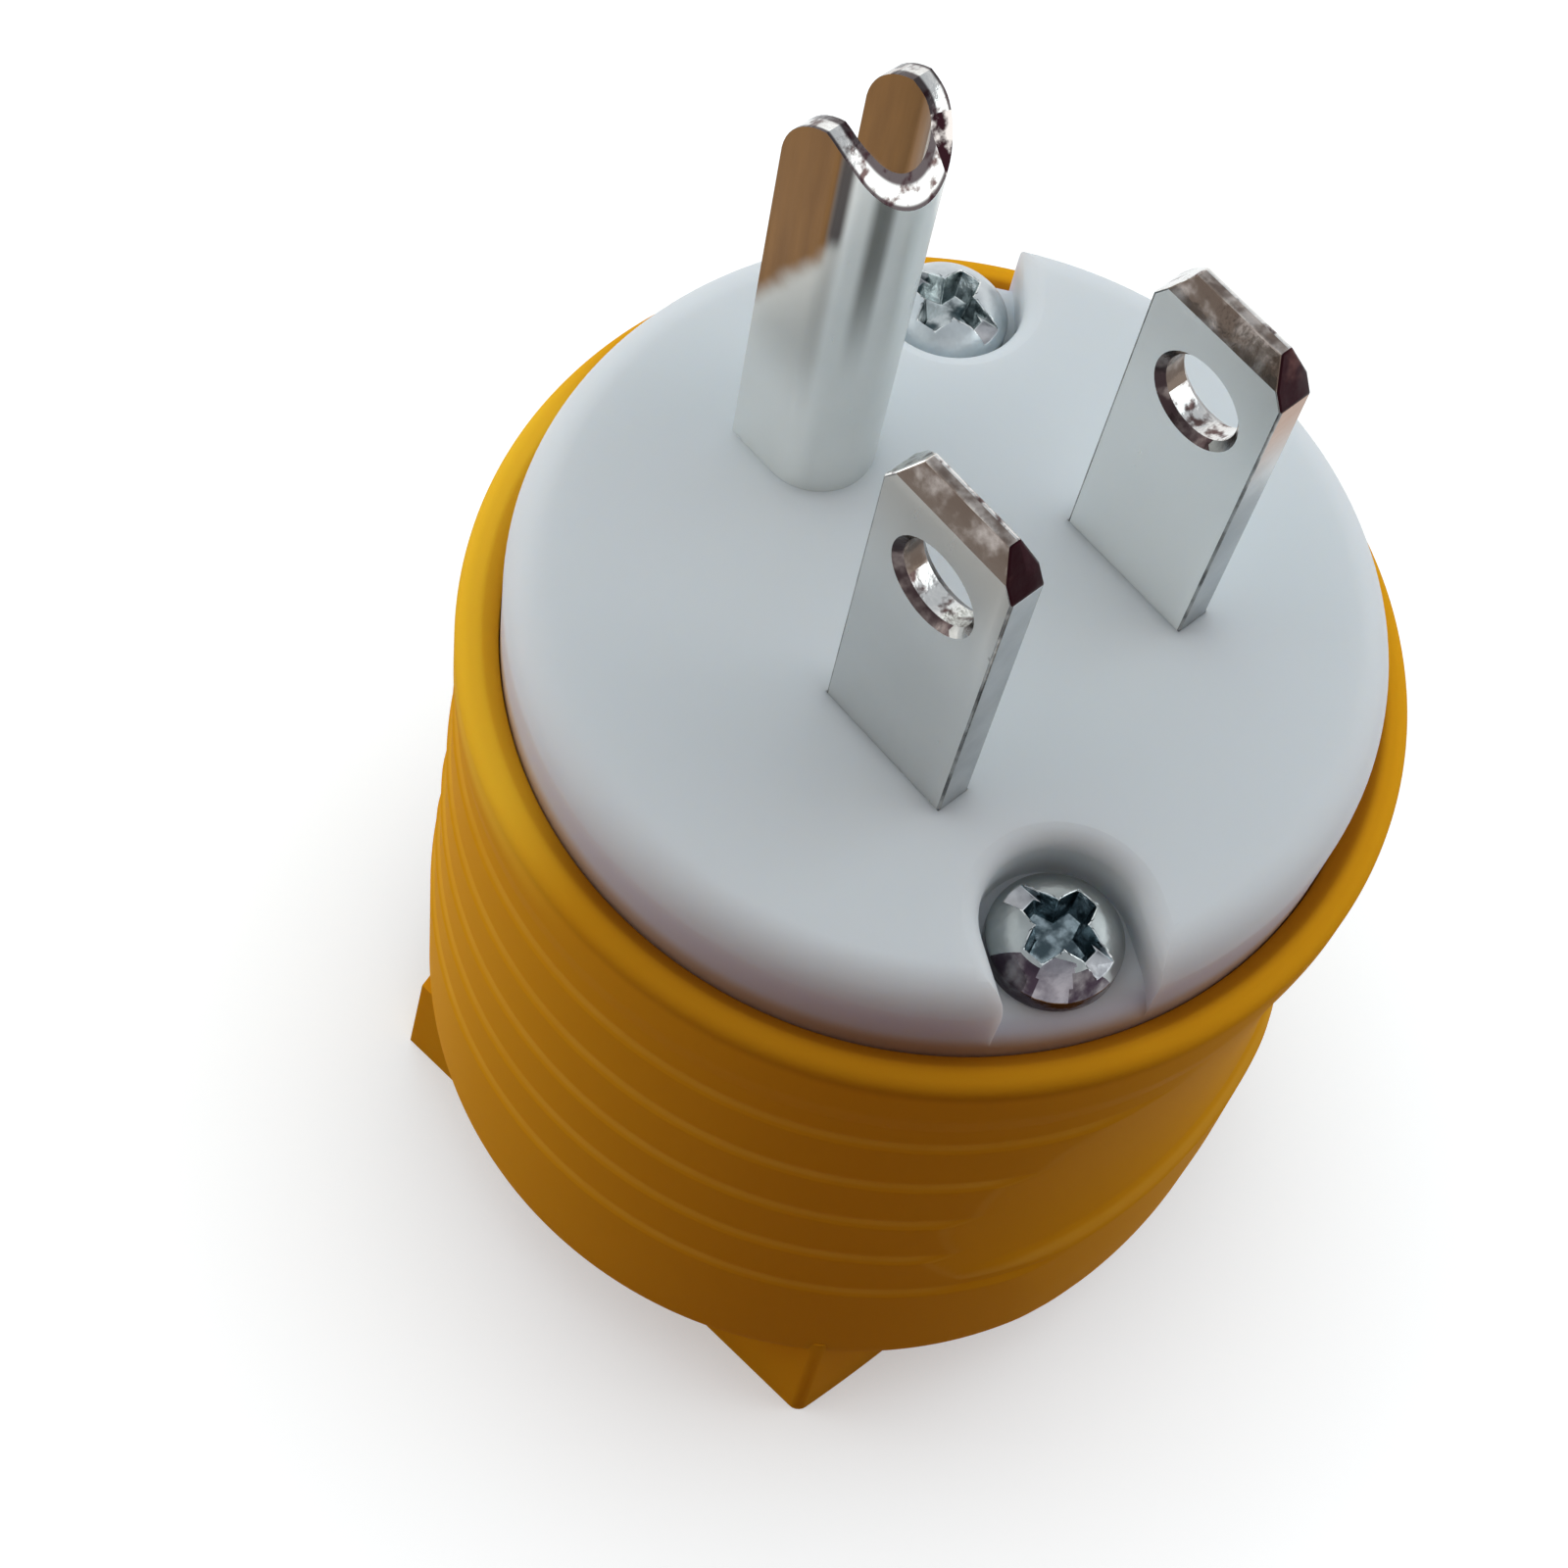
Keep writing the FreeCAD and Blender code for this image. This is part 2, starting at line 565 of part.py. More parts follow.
def make_shell(name):
    body = new_body(name, turn=size("shell_turn"))
    round_rear_corners(body, add_rear_block(body, "Sizes.shell_bottom + 1.5"))
    section = sketch_on(body, "section", "XZ_Plane")
    outline(section, shell_section())
    turn(body, "Revolution", section)
    scoop_axis = f"(Sizes.scoop_radius - {NECK} + Sizes.scoop_depth)"
    scoop = sketch_on(body, "scoop", "YZ_Plane", right=scoop_axis)
    outline(scoop, scoop_section())
    groove = turn(body, "Groove", scoop)
    both = body.newObject("PartDesign::PolarPattern", "shell_scoops")
    both.Originals = [groove]
    both.Axis = (next(item for item in body.Origin.OriginFeatures if item.Role == "Z_Axis"), [""])
    both.Angle = 360
    both.Occurrences = 2
    body.Tip = both
    other_half = sketch_on(body, "jaw_half", "XY_Plane")
    wide = size("rear_width")
    outline(other_half, box_outline(f"-{wide}", "0", wide, wide))
    extrude(body, "Pocket", other_half, size("shell_bottom"), backwards=True)
    cavity = sketch_on(body, "cavity", "XZ_Plane")
    outline(cavity, cavity_section())
    turn(body, "Groove", cavity)
    channel = sketch_on(body, "cord_channel", "XY_Plane")
    circle(channel, "0", "0", "Sizes.cord_bore / 2")
    extrude(body, "Pocket", channel, "Sizes.cavity_floor + 1", backwards=True)
    angles = {label: f"({angle} - Sizes.shell_turn)" for label, angle in SCREW_ANGLES.items()}
    bosses = sketch_on(body, "bosses", "XY_Plane", out=f"({size('cavity_floor')} + 1)")
    for angle in angles.values():
        circle(bosses, *on_ray(angle, SCREW_CIRCLE), size("boss_radius"))
    extrude(body, "Pad", bosses, f"{SEAT} - Sizes.cavity_floor - 1")
    threads = sketch_on(body, "screw_threads", "XY_Plane", out=SEAT)
    for angle in angles.values():
        circle(threads, *on_ray(angle, SCREW_CIRCLE), SHANK)
    extrude(body, "Pocket", threads, "Sizes.face_screw_length")
    slots = sketch_on(body, "nut_slots", "XY_Plane", out=f"({SEAT} - Sizes.face_nut_below_seat)")
    side, centre = "(Sizes.nut_side / 2)", SCREW_CIRCLE
    for angle in angles.values():
        inner, outer = f"({centre} - Sizes.boss_radius - 1)", f"({centre} + {side})"
        outline(slots, [on_ray(angle, inner, f"-{side}"), on_ray(angle, outer, f"-{side}"),
                        on_ray(angle, outer, side), on_ray(angle, inner, side)])
    extrude(body, "Pocket", slots, size("nut_thick"))
    jaw_holes = sketch_on(body, "jaw_screw_threads", "XZ_Plane")
    for way in (-1, 1):
        circle(jaw_holes, f"({way} * Sizes.jaw_screw_pitch / 2)", "(Sizes.shell_bottom / 2)", SHANK)
    extrude(body, "Pocket", jaw_holes, "Sizes.jaw_screw_length - Sizes.jaw_head_seat + 1", backwards=True)
    jaw_slots = sketch_on(body, "jaw_nut_slots", "XZ_Plane", out=size("jaw_nut_depth"))
    for way in (-1, 1):
        middle = f"({way} * Sizes.jaw_screw_pitch / 2)"
        outline(jaw_slots, box_outline(f"({middle} - {side})", "-1", f"({middle} + {side})",
                                       f"(Sizes.shell_bottom / 2 + {side})"))
    extrude(body, "Pocket", jaw_slots, size("nut_thick"), backwards=True)
    return body


# Removable jaw of the cord clamp, the other half of the rear block

def make_cord_jaw(name):
    body = new_body(name, turn=size("shell_turn"))
    block = add_rear_block(body, size("shell_bottom"))
    round_rear_corners(body, block)
    other_half = sketch_on(body, "shell_half", "XY_Plane")
    wide = size("rear_width")
    outline(other_half, box_outline(f"-{wide}", f"-{wide}", wide, "0"))
    extrude(body, "Pocket", other_half, size("shell_bottom"), backwards=True)
    channel = sketch_on(body, "cord_channel", "XY_Plane")
    circle(channel, "0", "0", "Sizes.cord_bore / 2")
    extrude(body, "Pocket", channel, size("shell_bottom"), backwards=True)
    seats = sketch_on(body, "head_seats", "XZ_Plane", out=f"-{size('jaw_head_seat')}")
    passages = sketch_on(body, "passages", "XZ_Plane")
    for way in (-1, 1):
        middle = f"({way} * Sizes.jaw_screw_pitch / 2)"
        circle(seats, middle, "(Sizes.shell_bottom / 2)", size("jaw_head_pocket"))
        circle(passages, middle, "(Sizes.shell_bottom / 2)", SHANK_PASS)
    extrude(body, "Pocket", seats, size("rear_crown"))
    extrude(body, "Pocket", passages, size("rear_crown"))
    return body


# Screws stand along Z in their own frame, with the underside of the head at Z = 0

def make_screw(name, head, length):
    """A screw whose head takes the three sizes that start with the given words."""
    body = doc.addObject("PartDesign::Body", name)
    body.Label = name
    width, head_height, edge = size(f"{head}_diameter"), size(f"{head}_height"), size(f"{head}_edge")
    radius = f"({width} / 2)"
    dome = f"(({radius} * {radius} + ({head_height} - {edge}) ^ 2) / (2 * ({head_height} - {edge})))"
    section = sketch_on(body, "section", "XZ_Plane")
    outline(section, [
        ("0", f"-{length}"), (f"({SHANK} - Sizes.shank_chamfer)", f"-{length}"),
        (SHANK, f"(Sizes.shank_chamfer - {length})"), (SHANK, "0"),
        (radius, "0"), (radius, edge, dome, "left"), ("0", head_height),
    ])
    turn(body, "Revolution", section)
    slot, arm, blade = "(Sizes.slot_width / 2)", f"({radius} * Sizes.cross_reach)", "(Sizes.cross_width / 2)"
    for label, long_way, wide_way, depth in (("slot", width, slot, size("slot_depth")),
                                             ("cross_one", arm, blade, size("cross_depth")),
                                             ("cross_two", blade, arm, size("cross_depth"))):
        recess = sketch_on(body, label, "XY_Plane", out=head_height)
        outline(recess, box_outline(f"-{long_way}", f"-{wide_way}", long_way, wide_way))
        extrude(body, "Pocket", recess, depth)
    return body


def make_nut(name):
    """A square nut with its axis along Z and its top at Z = 0."""
    body = doc.addObject("PartDesign::Body", name)
    body.Label = name
    side = "(Sizes.nut_side / 2)"
    sketch = sketch_on(body, "square", "XY_Plane")
    outline(sketch, box_outline(f"-{side}", f"-{side}", side, side))
    circle(sketch, "0", "0", SHANK)
    extrude(body, "Pad", sketch, size("nut_thick"), backwards=True)
    return body


def make_pressure_plate(name):
    """A square plate with its axis along Z, lying on Z = 0."""
    body = doc.addObject("PartDesign::Body", name)
    body.Label = name
    side = "(Sizes.plate_side / 2)"
    sketch = sketch_on(body, "square", "XY_Plane")
    outline(sketch, box_outline(f"-{side}", f"-{side}", side, side))
    circle(sketch, "0", "0", SHANK_PASS)
    extrude(body, "Pad", sketch, size("plate_thick"))
    return body


def place(body, x, y, z, rotation, turned=None):
    """Puts a piece in the plug, at a place given in the plug's frame or in the turned shell's."""
    body.Placement.Rotation = rotation
    if turned:
        x, y = on_ray(turned, x, y)
    for path, value in (("x", x), ("y", y), ("z", z)):
        bind(body, f"Placement.Base.{path}", value)
    return body


UPRIGHT = FreeCAD.Rotation()


def facing(azimuth):
    """Turns a piece's +Z axis to face outwards, level, at an angle about the plug's axis."""
    level = FreeCAD.Rotation(FreeCAD.Vector(0, 1, 0), 90)
    return FreeCAD.Rotation(FreeCAD.Vector(0, 0, 1), azimuth) * level


def spin(angle):
    return FreeCAD.Rotation(FreeCAD.Vector(0, 0, 1), angle)


blades = [make_blade("blade_hot", -1), make_blade("blade_neutral", 1)]
ground_pin = make_ground_pin("ground_pin")
front_face = make_front_face("front_face")
terminal_block = make_terminal_block("terminal_block")
shell = make_shell("shell")
cord_jaw = make_cord_jaw("cord_jaw")
pieces = [*blades, ground_pin, front_face, terminal_block, shell, cord_jaw]

# Face screws with their captive nuts
SLOT_ANGLES = {"one": -82.0, "two": -77.0}
for label, angle in SCREW_ANGLES.items():
    x, y = on_ray(angle, SCREW_CIRCLE)
    screw = make_screw(f"face_screw_{label}", "head", "(Sizes.face_screw_length)")
    pieces.append(place(screw, x, y, f"{FACE} - Sizes.head_seat_depth", spin(SLOT_ANGLES[label])))
    nut = make_nut(f"face_nut_{label}")
    pieces.append(place(nut, x, y, f"{SEAT} - Sizes.face_nut_below_seat", spin(number(angle))))

# Terminal screws and pressure plates, each facing outwards from its blade or tang
plate_off = f"({HALF_BLADE} + Sizes.plate_thick)"
tang_face = f"({GROUND_FRONT} + Sizes.ground_sheet)"
TERMINALS = {
    "hot": (f"(-Sizes.blade_pitch / 2 - {HALF_BLADE})", "-Sizes.blade_line", 180, (-1, 0)),
    "neutral": (f"(Sizes.blade_pitch / 2 + {HALF_BLADE})", "-Sizes.blade_line", 0, (1, 0)),
    "ground": ("0", tang_face, 90, (0, 1)),
}
for label, (x, y, azimuth, (way_x, way_y)) in TERMINALS.items():
    plate = make_pressure_plate(f"pressure_plate_{label}")
    pieces.append(place(plate, x, y, TERMINAL, facing(azimuth)))
    screw = make_screw(f"terminal_screw_{label}", "terminal_head", "(Sizes.terminal_screw_length)")
    pieces.append(place(screw, f"{x} + {way_x} * Sizes.plate_thick", f"{y} + {way_y} * Sizes.plate_thick",
                        TERMINAL, facing(azimuth)))

# Clamp screws and their captive nuts, across the rear block
for label, way in (("one", -1), ("two", 1)):
    x = f"({way} * Sizes.jaw_screw_pitch / 2)"
    middle, across = "(Sizes.shell_bottom / 2)", facing(90 + number("Sizes.shell_turn"))
    screw = make_screw(f"jaw_screw_{label}", "head", "(Sizes.jaw_screw_length)")
    pieces.append(place(screw, x, size("jaw_head_seat"), middle, across, size("shell_turn")))
    nut = make_nut(f"jaw_nut_{label}")
    pieces.append(place(nut, x, "-Sizes.jaw_nut_depth", middle, across, size("shell_turn")))

doc.recompute()

failed = [item.Name for item in doc.Objects if "Invalid" in item.State or "Error" in item.State]
if failed:
    raise RuntimeError(f"these steps failed: {failed}")
for piece in pieces:
    if piece.Shape.isNull() or not piece.Shape.isValid() or len(piece.Shape.Solids) != 1:
        raise RuntimeError(f"{piece.Label} isn't one valid solid")

os.makedirs("parts", exist_ok=True)
for piece in pieces:
    piece.Shape.exportStep(os.path.join("parts", f"{piece.Label}.step"))
    print(f"{piece.Label}: {piece.Shape.Volume:.1f} cubic mm")
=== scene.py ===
import math

import bmesh
import bpy
from mathutils import Matrix, Vector


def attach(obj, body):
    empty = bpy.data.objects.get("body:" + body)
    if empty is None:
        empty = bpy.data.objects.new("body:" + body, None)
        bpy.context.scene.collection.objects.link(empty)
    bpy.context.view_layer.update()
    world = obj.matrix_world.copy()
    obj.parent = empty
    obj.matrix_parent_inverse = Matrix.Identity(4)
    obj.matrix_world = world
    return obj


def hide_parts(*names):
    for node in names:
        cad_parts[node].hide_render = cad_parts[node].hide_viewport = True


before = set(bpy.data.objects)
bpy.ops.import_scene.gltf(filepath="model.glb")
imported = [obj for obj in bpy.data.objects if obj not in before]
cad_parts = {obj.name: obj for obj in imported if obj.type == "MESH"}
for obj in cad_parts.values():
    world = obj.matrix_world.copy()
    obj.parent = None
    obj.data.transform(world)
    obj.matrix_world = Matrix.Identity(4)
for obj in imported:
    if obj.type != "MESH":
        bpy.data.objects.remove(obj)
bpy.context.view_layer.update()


# The photograph looks down on the plug from the side of its hot blade, from about 16 cm away,
# with the plug leaning a little to the right.
scene = bpy.context.scene
scene.view_settings.view_transform = "Standard"

camera = bpy.data.objects.new("camera", bpy.data.cameras.new("camera"))
camera.data.lens = 66.585
camera.data.sensor_width = 36
camera.data.clip_start = 0.005
camera.location = (-0.050972, -0.032238, 0.137848)
camera.rotation_euler = [math.radians(turn) for turn in (27.052, -6.514, -40.75)]
scene.collection.objects.link(camera)
scene.camera = camera


# The terminal block is the plain nylon core behind the face. It holds the roots of the blades
# and the ground pin, and none of it shows once the plug is closed.
class Wire:
    """The output of a material's node. Arithmetic on it adds Math nodes."""

    def __init__(self, socket):
        self.socket = socket

    def maths(self, operation, *values):
        tree = self.socket.id_data
        node = tree.nodes.new("ShaderNodeMath")
        node.operation = operation
        for slot, value in zip(node.inputs, values):
            if isinstance(value, Wire):
                tree.links.new(value.socket, slot)
            else:
                slot.default_value = value
        return Wire(node.outputs[0])

    def __add__(self, other):
        return self.maths("ADD", self, other)

    def __sub__(self, other):
        return self.maths("SUBTRACT", self, other)

    def __rsub__(self, other):
        return self.maths("SUBTRACT", other, self)

    def __mul__(self, other):
        return self.maths("MULTIPLY", self, other)

    def __truediv__(self, other):
        return self.maths("DIVIDE", self, other)

    __radd__ = __add__
    __rmul__ = __mul__

    def size(self):
        return self.maths("ABSOLUTE", self)

    def at_least(self, other):
        return self.maths("MAXIMUM", self, other)

    def hypot(self, other):
        squares = self * self + other * other
        return squares.maths("SQRT", squares)

    def to_nearest(self, spacing):
        """How far a length is from the nearest whole number of spacings."""
        return self.maths("PINGPONG", self, spacing / 2)


class Look:
    """The nodes of a material or of the world, and the shader that they feed."""

    def __init__(self, owner, shader):
        owner.use_nodes = True
        self.tree = owner.node_tree
        self.shader = self.tree.nodes[shader]

    def node(self, kind, settings=None, inputs=None, output=0):
        made = self.tree.nodes.new(f"ShaderNode{kind}")
        for label, value in (settings or {}).items():
            if label == "stops":
                while len(made.color_ramp.elements) < len(value):
                    made.color_ramp.elements.new(0.5)
                for stop, (place, colour) in zip(made.color_ramp.elements, value):
                    stop.position, stop.color = place, (*colour, 1)
            else:
                setattr(made, label, value)
        for label, value in (inputs or {}).items():
            if isinstance(value, Wire):
                self.tree.links.new(value.socket, made.inputs[label])
            else:
                made.inputs[label].default_value = value
        return Wire(made.outputs[output])

    def place(self):
        return self.node("TexCoord", output="Object")

    def axis(self, label):
        """One of the plug's own coordinates, in millimetres."""
        return self.node("SeparateXYZ", inputs={"Vector": self.place()}, output=label) * 1000

    def noise(self, scale, detail=2.0, stretch=(1, 1, 1), turn=(0, 0, 0)):
        """Cloudy variation from 0 to 1. The scale counts features in a metre."""
        where = self.node("Mapping", inputs={"Vector": self.place(), "Scale": stretch, "Rotation": turn})
        return self.node("TexNoise", inputs={"Vector": where, "Scale": scale, "Detail": detail}, output="Fac")

    def step(self, value, low, high):
        """0 below low, 1 above high and smooth between them."""
        return self.node("MapRange", {"interpolation_type": "SMOOTHSTEP"},
                         {"Value": value, "From Min": low, "From Max": high})

    def between(self, value, rise, fall):
        """1 between a rise and a fall, each given by where it starts and ends."""
        return self.step(value, *rise) * (1 - self.step(value, *fall))

    def blend(self, factor, one, other):
        """From one colour to the other. A colour is a wire, or its red, green and blue."""
        one, other = ((*tone, 1) if isinstance(tone, tuple) else tone for tone in (one, other))
        return self.node("Mix", {"data_type": "RGBA"}, {0: factor, 6: one, 7: other}, output=2)

    def feed(self, label, wire):
        self.tree.links.new(wire.socket, self.shader.inputs[label])


class Finish(Look):
    """A material with one Principled shader. Constants go straight on its sockets."""

    def __init__(self, name, **constants):
        self.material = bpy.data.materials.new(name)
        super().__init__(self.material, "Principled BSDF")
        for label, value in constants.items():
            self.shader.inputs[label.replace("_", " ")].default_value = value

    def colour(self, factor, one, other):
        """The base colour, from one colour to the other."""
        self.tone = self.blend(factor, one, other)
        self.feed("Base Color", self.tone)

    def tint(self, amount, colour):
        """Lays another colour over the base colour."""
        self.colour(amount, self.tone, colour)

    def relief(self, height, depth):
        """Raises the surface by up to depth metres where height is 1."""
        self.feed("Normal", self.node("Bump", inputs={"Height": height, "Distance": depth, "Strength": 1.0}))


def dress(finish, *nodes):
    """Gives CAD pieces that keep their own mesh their finish."""
    for node in nodes:
        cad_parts[node].data.materials.clear()
        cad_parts[node].data.materials.append(finish.material)


core_nylon = Finish("core_nylon", Roughness=0.55)
core_nylon.colour(core_nylon.noise(900, 4), (0.62, 0.61, 0.56), (0.7, 0.69, 0.64))
core_nylon.relief(core_nylon.noise(2500, 3), 0.00002)
dress(core_nylon, "terminal_block")


# The blades and the ground pin are stamped from brass strip and nickel plated. Their ends are
# coined to a bevel, the blades' holes are countersunk, and the pin is folded from thinner sheet.
def smooth_shaded(piece, sharp):
    """Smooth shading, with edges over the sharp angle kept crisp."""
    shape = bmesh.new()
    shape.from_mesh(piece.data)
    for face in shape.faces:
        face.smooth = True
    for edge in shape.edges:
        edge.smooth = edge.is_manifold and edge.calc_face_angle() < math.radians(sharp)
    shape.to_mesh(piece.data)
    shape.free()


def settled(shape, name, finishes, node, sharp=40):
    """Turns a shape drawn in millimetres into a finished piece that stands for a CAD node."""
    bmesh.ops.scale(shape, vec=(0.001, 0.001, 0.001), verts=shape.verts)
    mesh = bpy.data.meshes.new(name)
    shape.to_mesh(mesh)
    shape.free()
    piece = bpy.data.objects.new(name, mesh)
    scene.collection.objects.link(piece)
    for finish in finishes:
        piece.data.materials.append(finish.material)
    smooth_shaded(piece, sharp)
    level = piece.modifiers.new("level", "WEIGHTED_NORMAL")
    level.keep_sharp = True
    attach(piece, "root")
    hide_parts(node)


def finish_faces(shape, finishes, *zones):
    """Gives faces their finish. A zone is a finish and the test of a face's middle and direction for it."""
    shape.normal_update()
    for finish, chosen in zones:
        for face in shape.faces:
            if chosen(face.calc_center_median(), face.normal):
                face.material_index = finishes.index(finish)


def ease(shape, edges, offset, segments, clamp=True):
    """Rounds edges, and gives the new faces."""
    return bmesh.ops.bevel(shape, geom=edges, offset=offset, offset_type="OFFSET", segments=segments,
                           profile=0.5, affect="EDGES", clamp_overlap=clamp, material=-1)["faces"]


def split(shape, place, way, **settings):
    """Cuts the faces along a plane, and gives the edges of the cut."""
    everything = shape.verts[:] + shape.edges[:] + shape.faces[:]
    made = bmesh.ops.bisect_plane(shape, geom=everything, plane_co=place, plane_no=way, **settings)
    return [part for part in made["geom_cut"] if isinstance(part, bmesh.types.BMEdge)]


def stamped(node, offset, kept=lambda middle: False):
    """A copy of a CAD piece in millimetres, its triangles joined to whole faces and its edges eased."""
    shape = bmesh.new()
    shape.from_mesh(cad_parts[node].data)
    bmesh.ops.scale(shape, vec=(1000, 1000, 1000), verts=shape.verts)
    bmesh.ops.remove_doubles(shape, verts=shape.verts, dist=0.001)
    bmesh.ops.dissolve_limit(shape, angle_limit=math.radians(0.3), verts=shape.verts, edges=shape.edges)
    corners = [edge for edge in shape.edges if edge.is_manifold
               and edge.calc_face_angle() > math.radians(30)
               and not kept((edge.verts[0].co + edge.verts[1].co) / 2)]
    ease(shape, corners, offset, 3)
    return shape


def nickel_plate(name, dark, light):
    """Bright nickel, drawn along the strip, with faint scratches and a few specks."""
    finish = Finish(name, Metallic=1.0)
    drawn = finish.noise(500, 4, stretch=(5, 5, 0.5))
    scratches = finish.step(finish.noise(900, 2, stretch=(1, 1, 0.12), turn=(0.5, 0.2, 0)), 0.68, 0.74)
    specks = finish.step(finish.noise(1300, 1), 0.8, 0.84)
    finish.feed("Roughness", 0.24 + drawn * 0.12 + scratches * 0.15)
    finish.relief(drawn - scratches * 0.5 - specks, 0.000005)
    finish.colour(finish.noise(250, 4), dark, light)
    finish.tint(specks * 0.6, (0.2, 0.18, 0.16))
    return finish


def metal_tone_and_painted_light(name, low, high, scale, dark, light, roughness=0.2):
    """Two metal tones broken up over each other, on an uneven surface; all but the sheared grey are painted
    light.
    """
    finish = Finish(name, Metallic=1.0, Roughness=roughness)
    finish.colour(finish.step(finish.noise(scale, 5), low, high), dark, light)
    finish.relief(finish.noise(scale * 1.5, 3), 0.00005)
    return finish


shear = (0.3, 0.7, 400, (0.4, 0.42, 0.43), (0.52, 0.54, 0.55), 0.3)
# painted glints: bright metal broken by dark patches, for the blades' far land, one end and hole walls, and
# the pin's rim
painted_glint = (0.34, 0.5, 1700, (0.14, 0.09, 0.085), (0.82, 0.81, 0.79), 0.15)
# painted reflection: a warm brown on the blade tips' long bevels and on part of the holes' walls
painted_bevel_tone = metal_tone_and_painted_light("coined_bevel", 0.42, 0.7, 900, (0.14, 0.105, 0.085), (0.46, 0.41, 0.38))
# painted reflection: brown on the near half of each blade's land
warm = metal_tone_and_painted_light("warm_land", 0.4, 0.65, 1100, (0.22, 0.17, 0.145), (0.6, 0.54, 0.5))
# painted dark reflection on part of each hole's countersink
countersunk = metal_tone_and_painted_light("countersunk_edge", 0.4, 0.7, 1000, (0.045, 0.03, 0.032), (0.24, 0.2, 0.19))
# painted dark wine reflection on each blade's end bevel towards the camera
painted_wine_reflection = metal_tone_and_painted_light("burnt_corner", 0.55, 0.8, 600, (0.018, 0.005, 0.007), (0.1, 0.045, 0.04))
# painted dark reflection broken by painted glints, on the pin's far rim and lower ends
painted_dark_glints = metal_tone_and_painted_light("seared_edge", 0.42, 0.58, 1300, (0.022, 0.007, 0.01), (0.62, 0.56, 0.53), 0.15)
# painted dark sheen on the blades' eased corners and countersinks
painted_dark_sheen = metal_tone_and_painted_light("rolled_edge", 0.35, 0.6, 700, (0.1, 0.1, 0.1), (0.36, 0.36, 0.35))
glinting = metal_tone_and_painted_light("glinting_edge", *painted_glint)
sheared = metal_tone_and_painted_light("sheared_edge", *shear)
# painted warm reflection: the neutral blade's narrow edge turns orange-brown towards its top
painted_warm_sheen = metal_tone_and_painted_light("scorched_edge", *shear)
painted_warm_sheen.tint(painted_warm_sheen.step(painted_warm_sheen.axis("Z"), 52.5, 57.5) * 0.85, (0.34, 0.16, 0.075))

BLADE = 6.35
HOLE = Vector((-3.55, 54.9))
LONG_BEVELS, END_BEVELS = 58.5, 57.8


def in_hole(at):
    return (at.yz - HOLE).length < 2.2


def round_hole(at):
    """Where a point lies round the hole, in degrees from the side towards the ground pin."""
    return math.degrees(math.atan2(at.z - HOLE.y, at.y - HOLE.x)) % 360


# Painted light: the neutral blade's nickel is painted brighter than the hot one's, and each is painted darker
# towards its tip, the hot one most.
for node, middle, cut_edge, tip_tone, dark, light in (
        ("blade_hot", -BLADE, sheared, 0.85, (0.63, 0.64, 0.63), (0.72, 0.73, 0.72)),
        ("blade_neutral", BLADE, painted_warm_sheen, 0.3, (0.9, 0.92, 0.91), (0.97, 0.98, 0.96))):
    blade_nickel = nickel_plate(f"{node}_nickel", dark, light)
    tip = blade_nickel.step(blade_nickel.axis("Z"), 52, 59)
    blade_nickel.tint(tip * tip_tone, (0.3, 0.285, 0.26))
    blade = stamped(node, 0.1, kept=in_hole)
    crest = middle + 0.1
    split(blade, (crest, 0, 0), (1, 0, 0))
    finishes = (blade_nickel, painted_bevel_tone, painted_wine_reflection, glinting, painted_dark_sheen, cut_edge, warm, countersunk)
    # Painted reflections, glints and shade go on most of these zones; only the hot blade's sheared edge keeps
    # its own grey.
    finish_faces(
        blade, finishes,
        # the narrow edge towards the camera, and the eased corners along the blade
        (cut_edge, lambda at, way: way.y < -0.9),
        (painted_dark_sheen, lambda at, way: abs(way.x) > 0.2 and abs(way.y) > 0.2 and abs(way.z) < 0.2),
        # the tip's long bevels, its flat land, and the bevels at its two ends
        (painted_bevel_tone, lambda at, way: at.z > LONG_BEVELS and way.z > 0.15 and abs(way.x) > 0.4),
        (warm, lambda at, way: at.z > LONG_BEVELS and way.z > 0.8),
        (glinting, lambda at, way: at.z > LONG_BEVELS and way.z > 0.5 and at.x > crest),
        (painted_wine_reflection, lambda at, way: at.z > END_BEVELS and way.z > 0.15 and way.y < -0.35),
        (glinting, lambda at, way: at.z > END_BEVELS and way.z > 0.15 and way.y > 0.35),
        # the hole's wall, then its countersink
        (glinting, lambda at, way: in_hole(at) and abs(way.x) < 0.2),
        (painted_bevel_tone, lambda at, way: in_hole(at) and abs(way.x) < 0.2 and not 40 < round_hole(at) < 320),
        (painted_dark_sheen, lambda at, way: in_hole(at) and 0.2 < abs(way.x) < 0.95),
        (countersunk, lambda at, way: in_hole(at) and 0.2 < abs(way.x) < 0.95
         and not 20 < round_hole(at) < 235))
    settled(blade, f"{node}_plated", finishes, node)

# Painted light and shade on the pin: its near leg is painted paler at its root and greyer above, with a
# painted dark streak down its fold. Its upper part and the inside of the far leg carry a painted brown
# reflection, with painted shade where the fold begins.
pin_nickel = nickel_plate("pin_nickel", (0.68, 0.7, 0.68), (0.8, 0.81, 0.79))
side, depth, height = (pin_nickel.axis(label) for label in "XYZ")
painted_fold_streak = (pin_nickel.between(side, (-1.85, -1.55), (-1.3, -0.95))
         * (1 - pin_nickel.step(depth, 7.6, 8.0)) * pin_nickel.step(height, 50, 58))
upper = (1 - pin_nickel.step(side, -2.3, -2.1)) * pin_nickel.step(height, 44, 55)
lower = (1 - pin_nickel.step(side, -2.36, -1.8)) * (1 - pin_nickel.step(height, 47, 52))
ragged = (pin_nickel.noise(350, 3) - 0.5) * 1.6
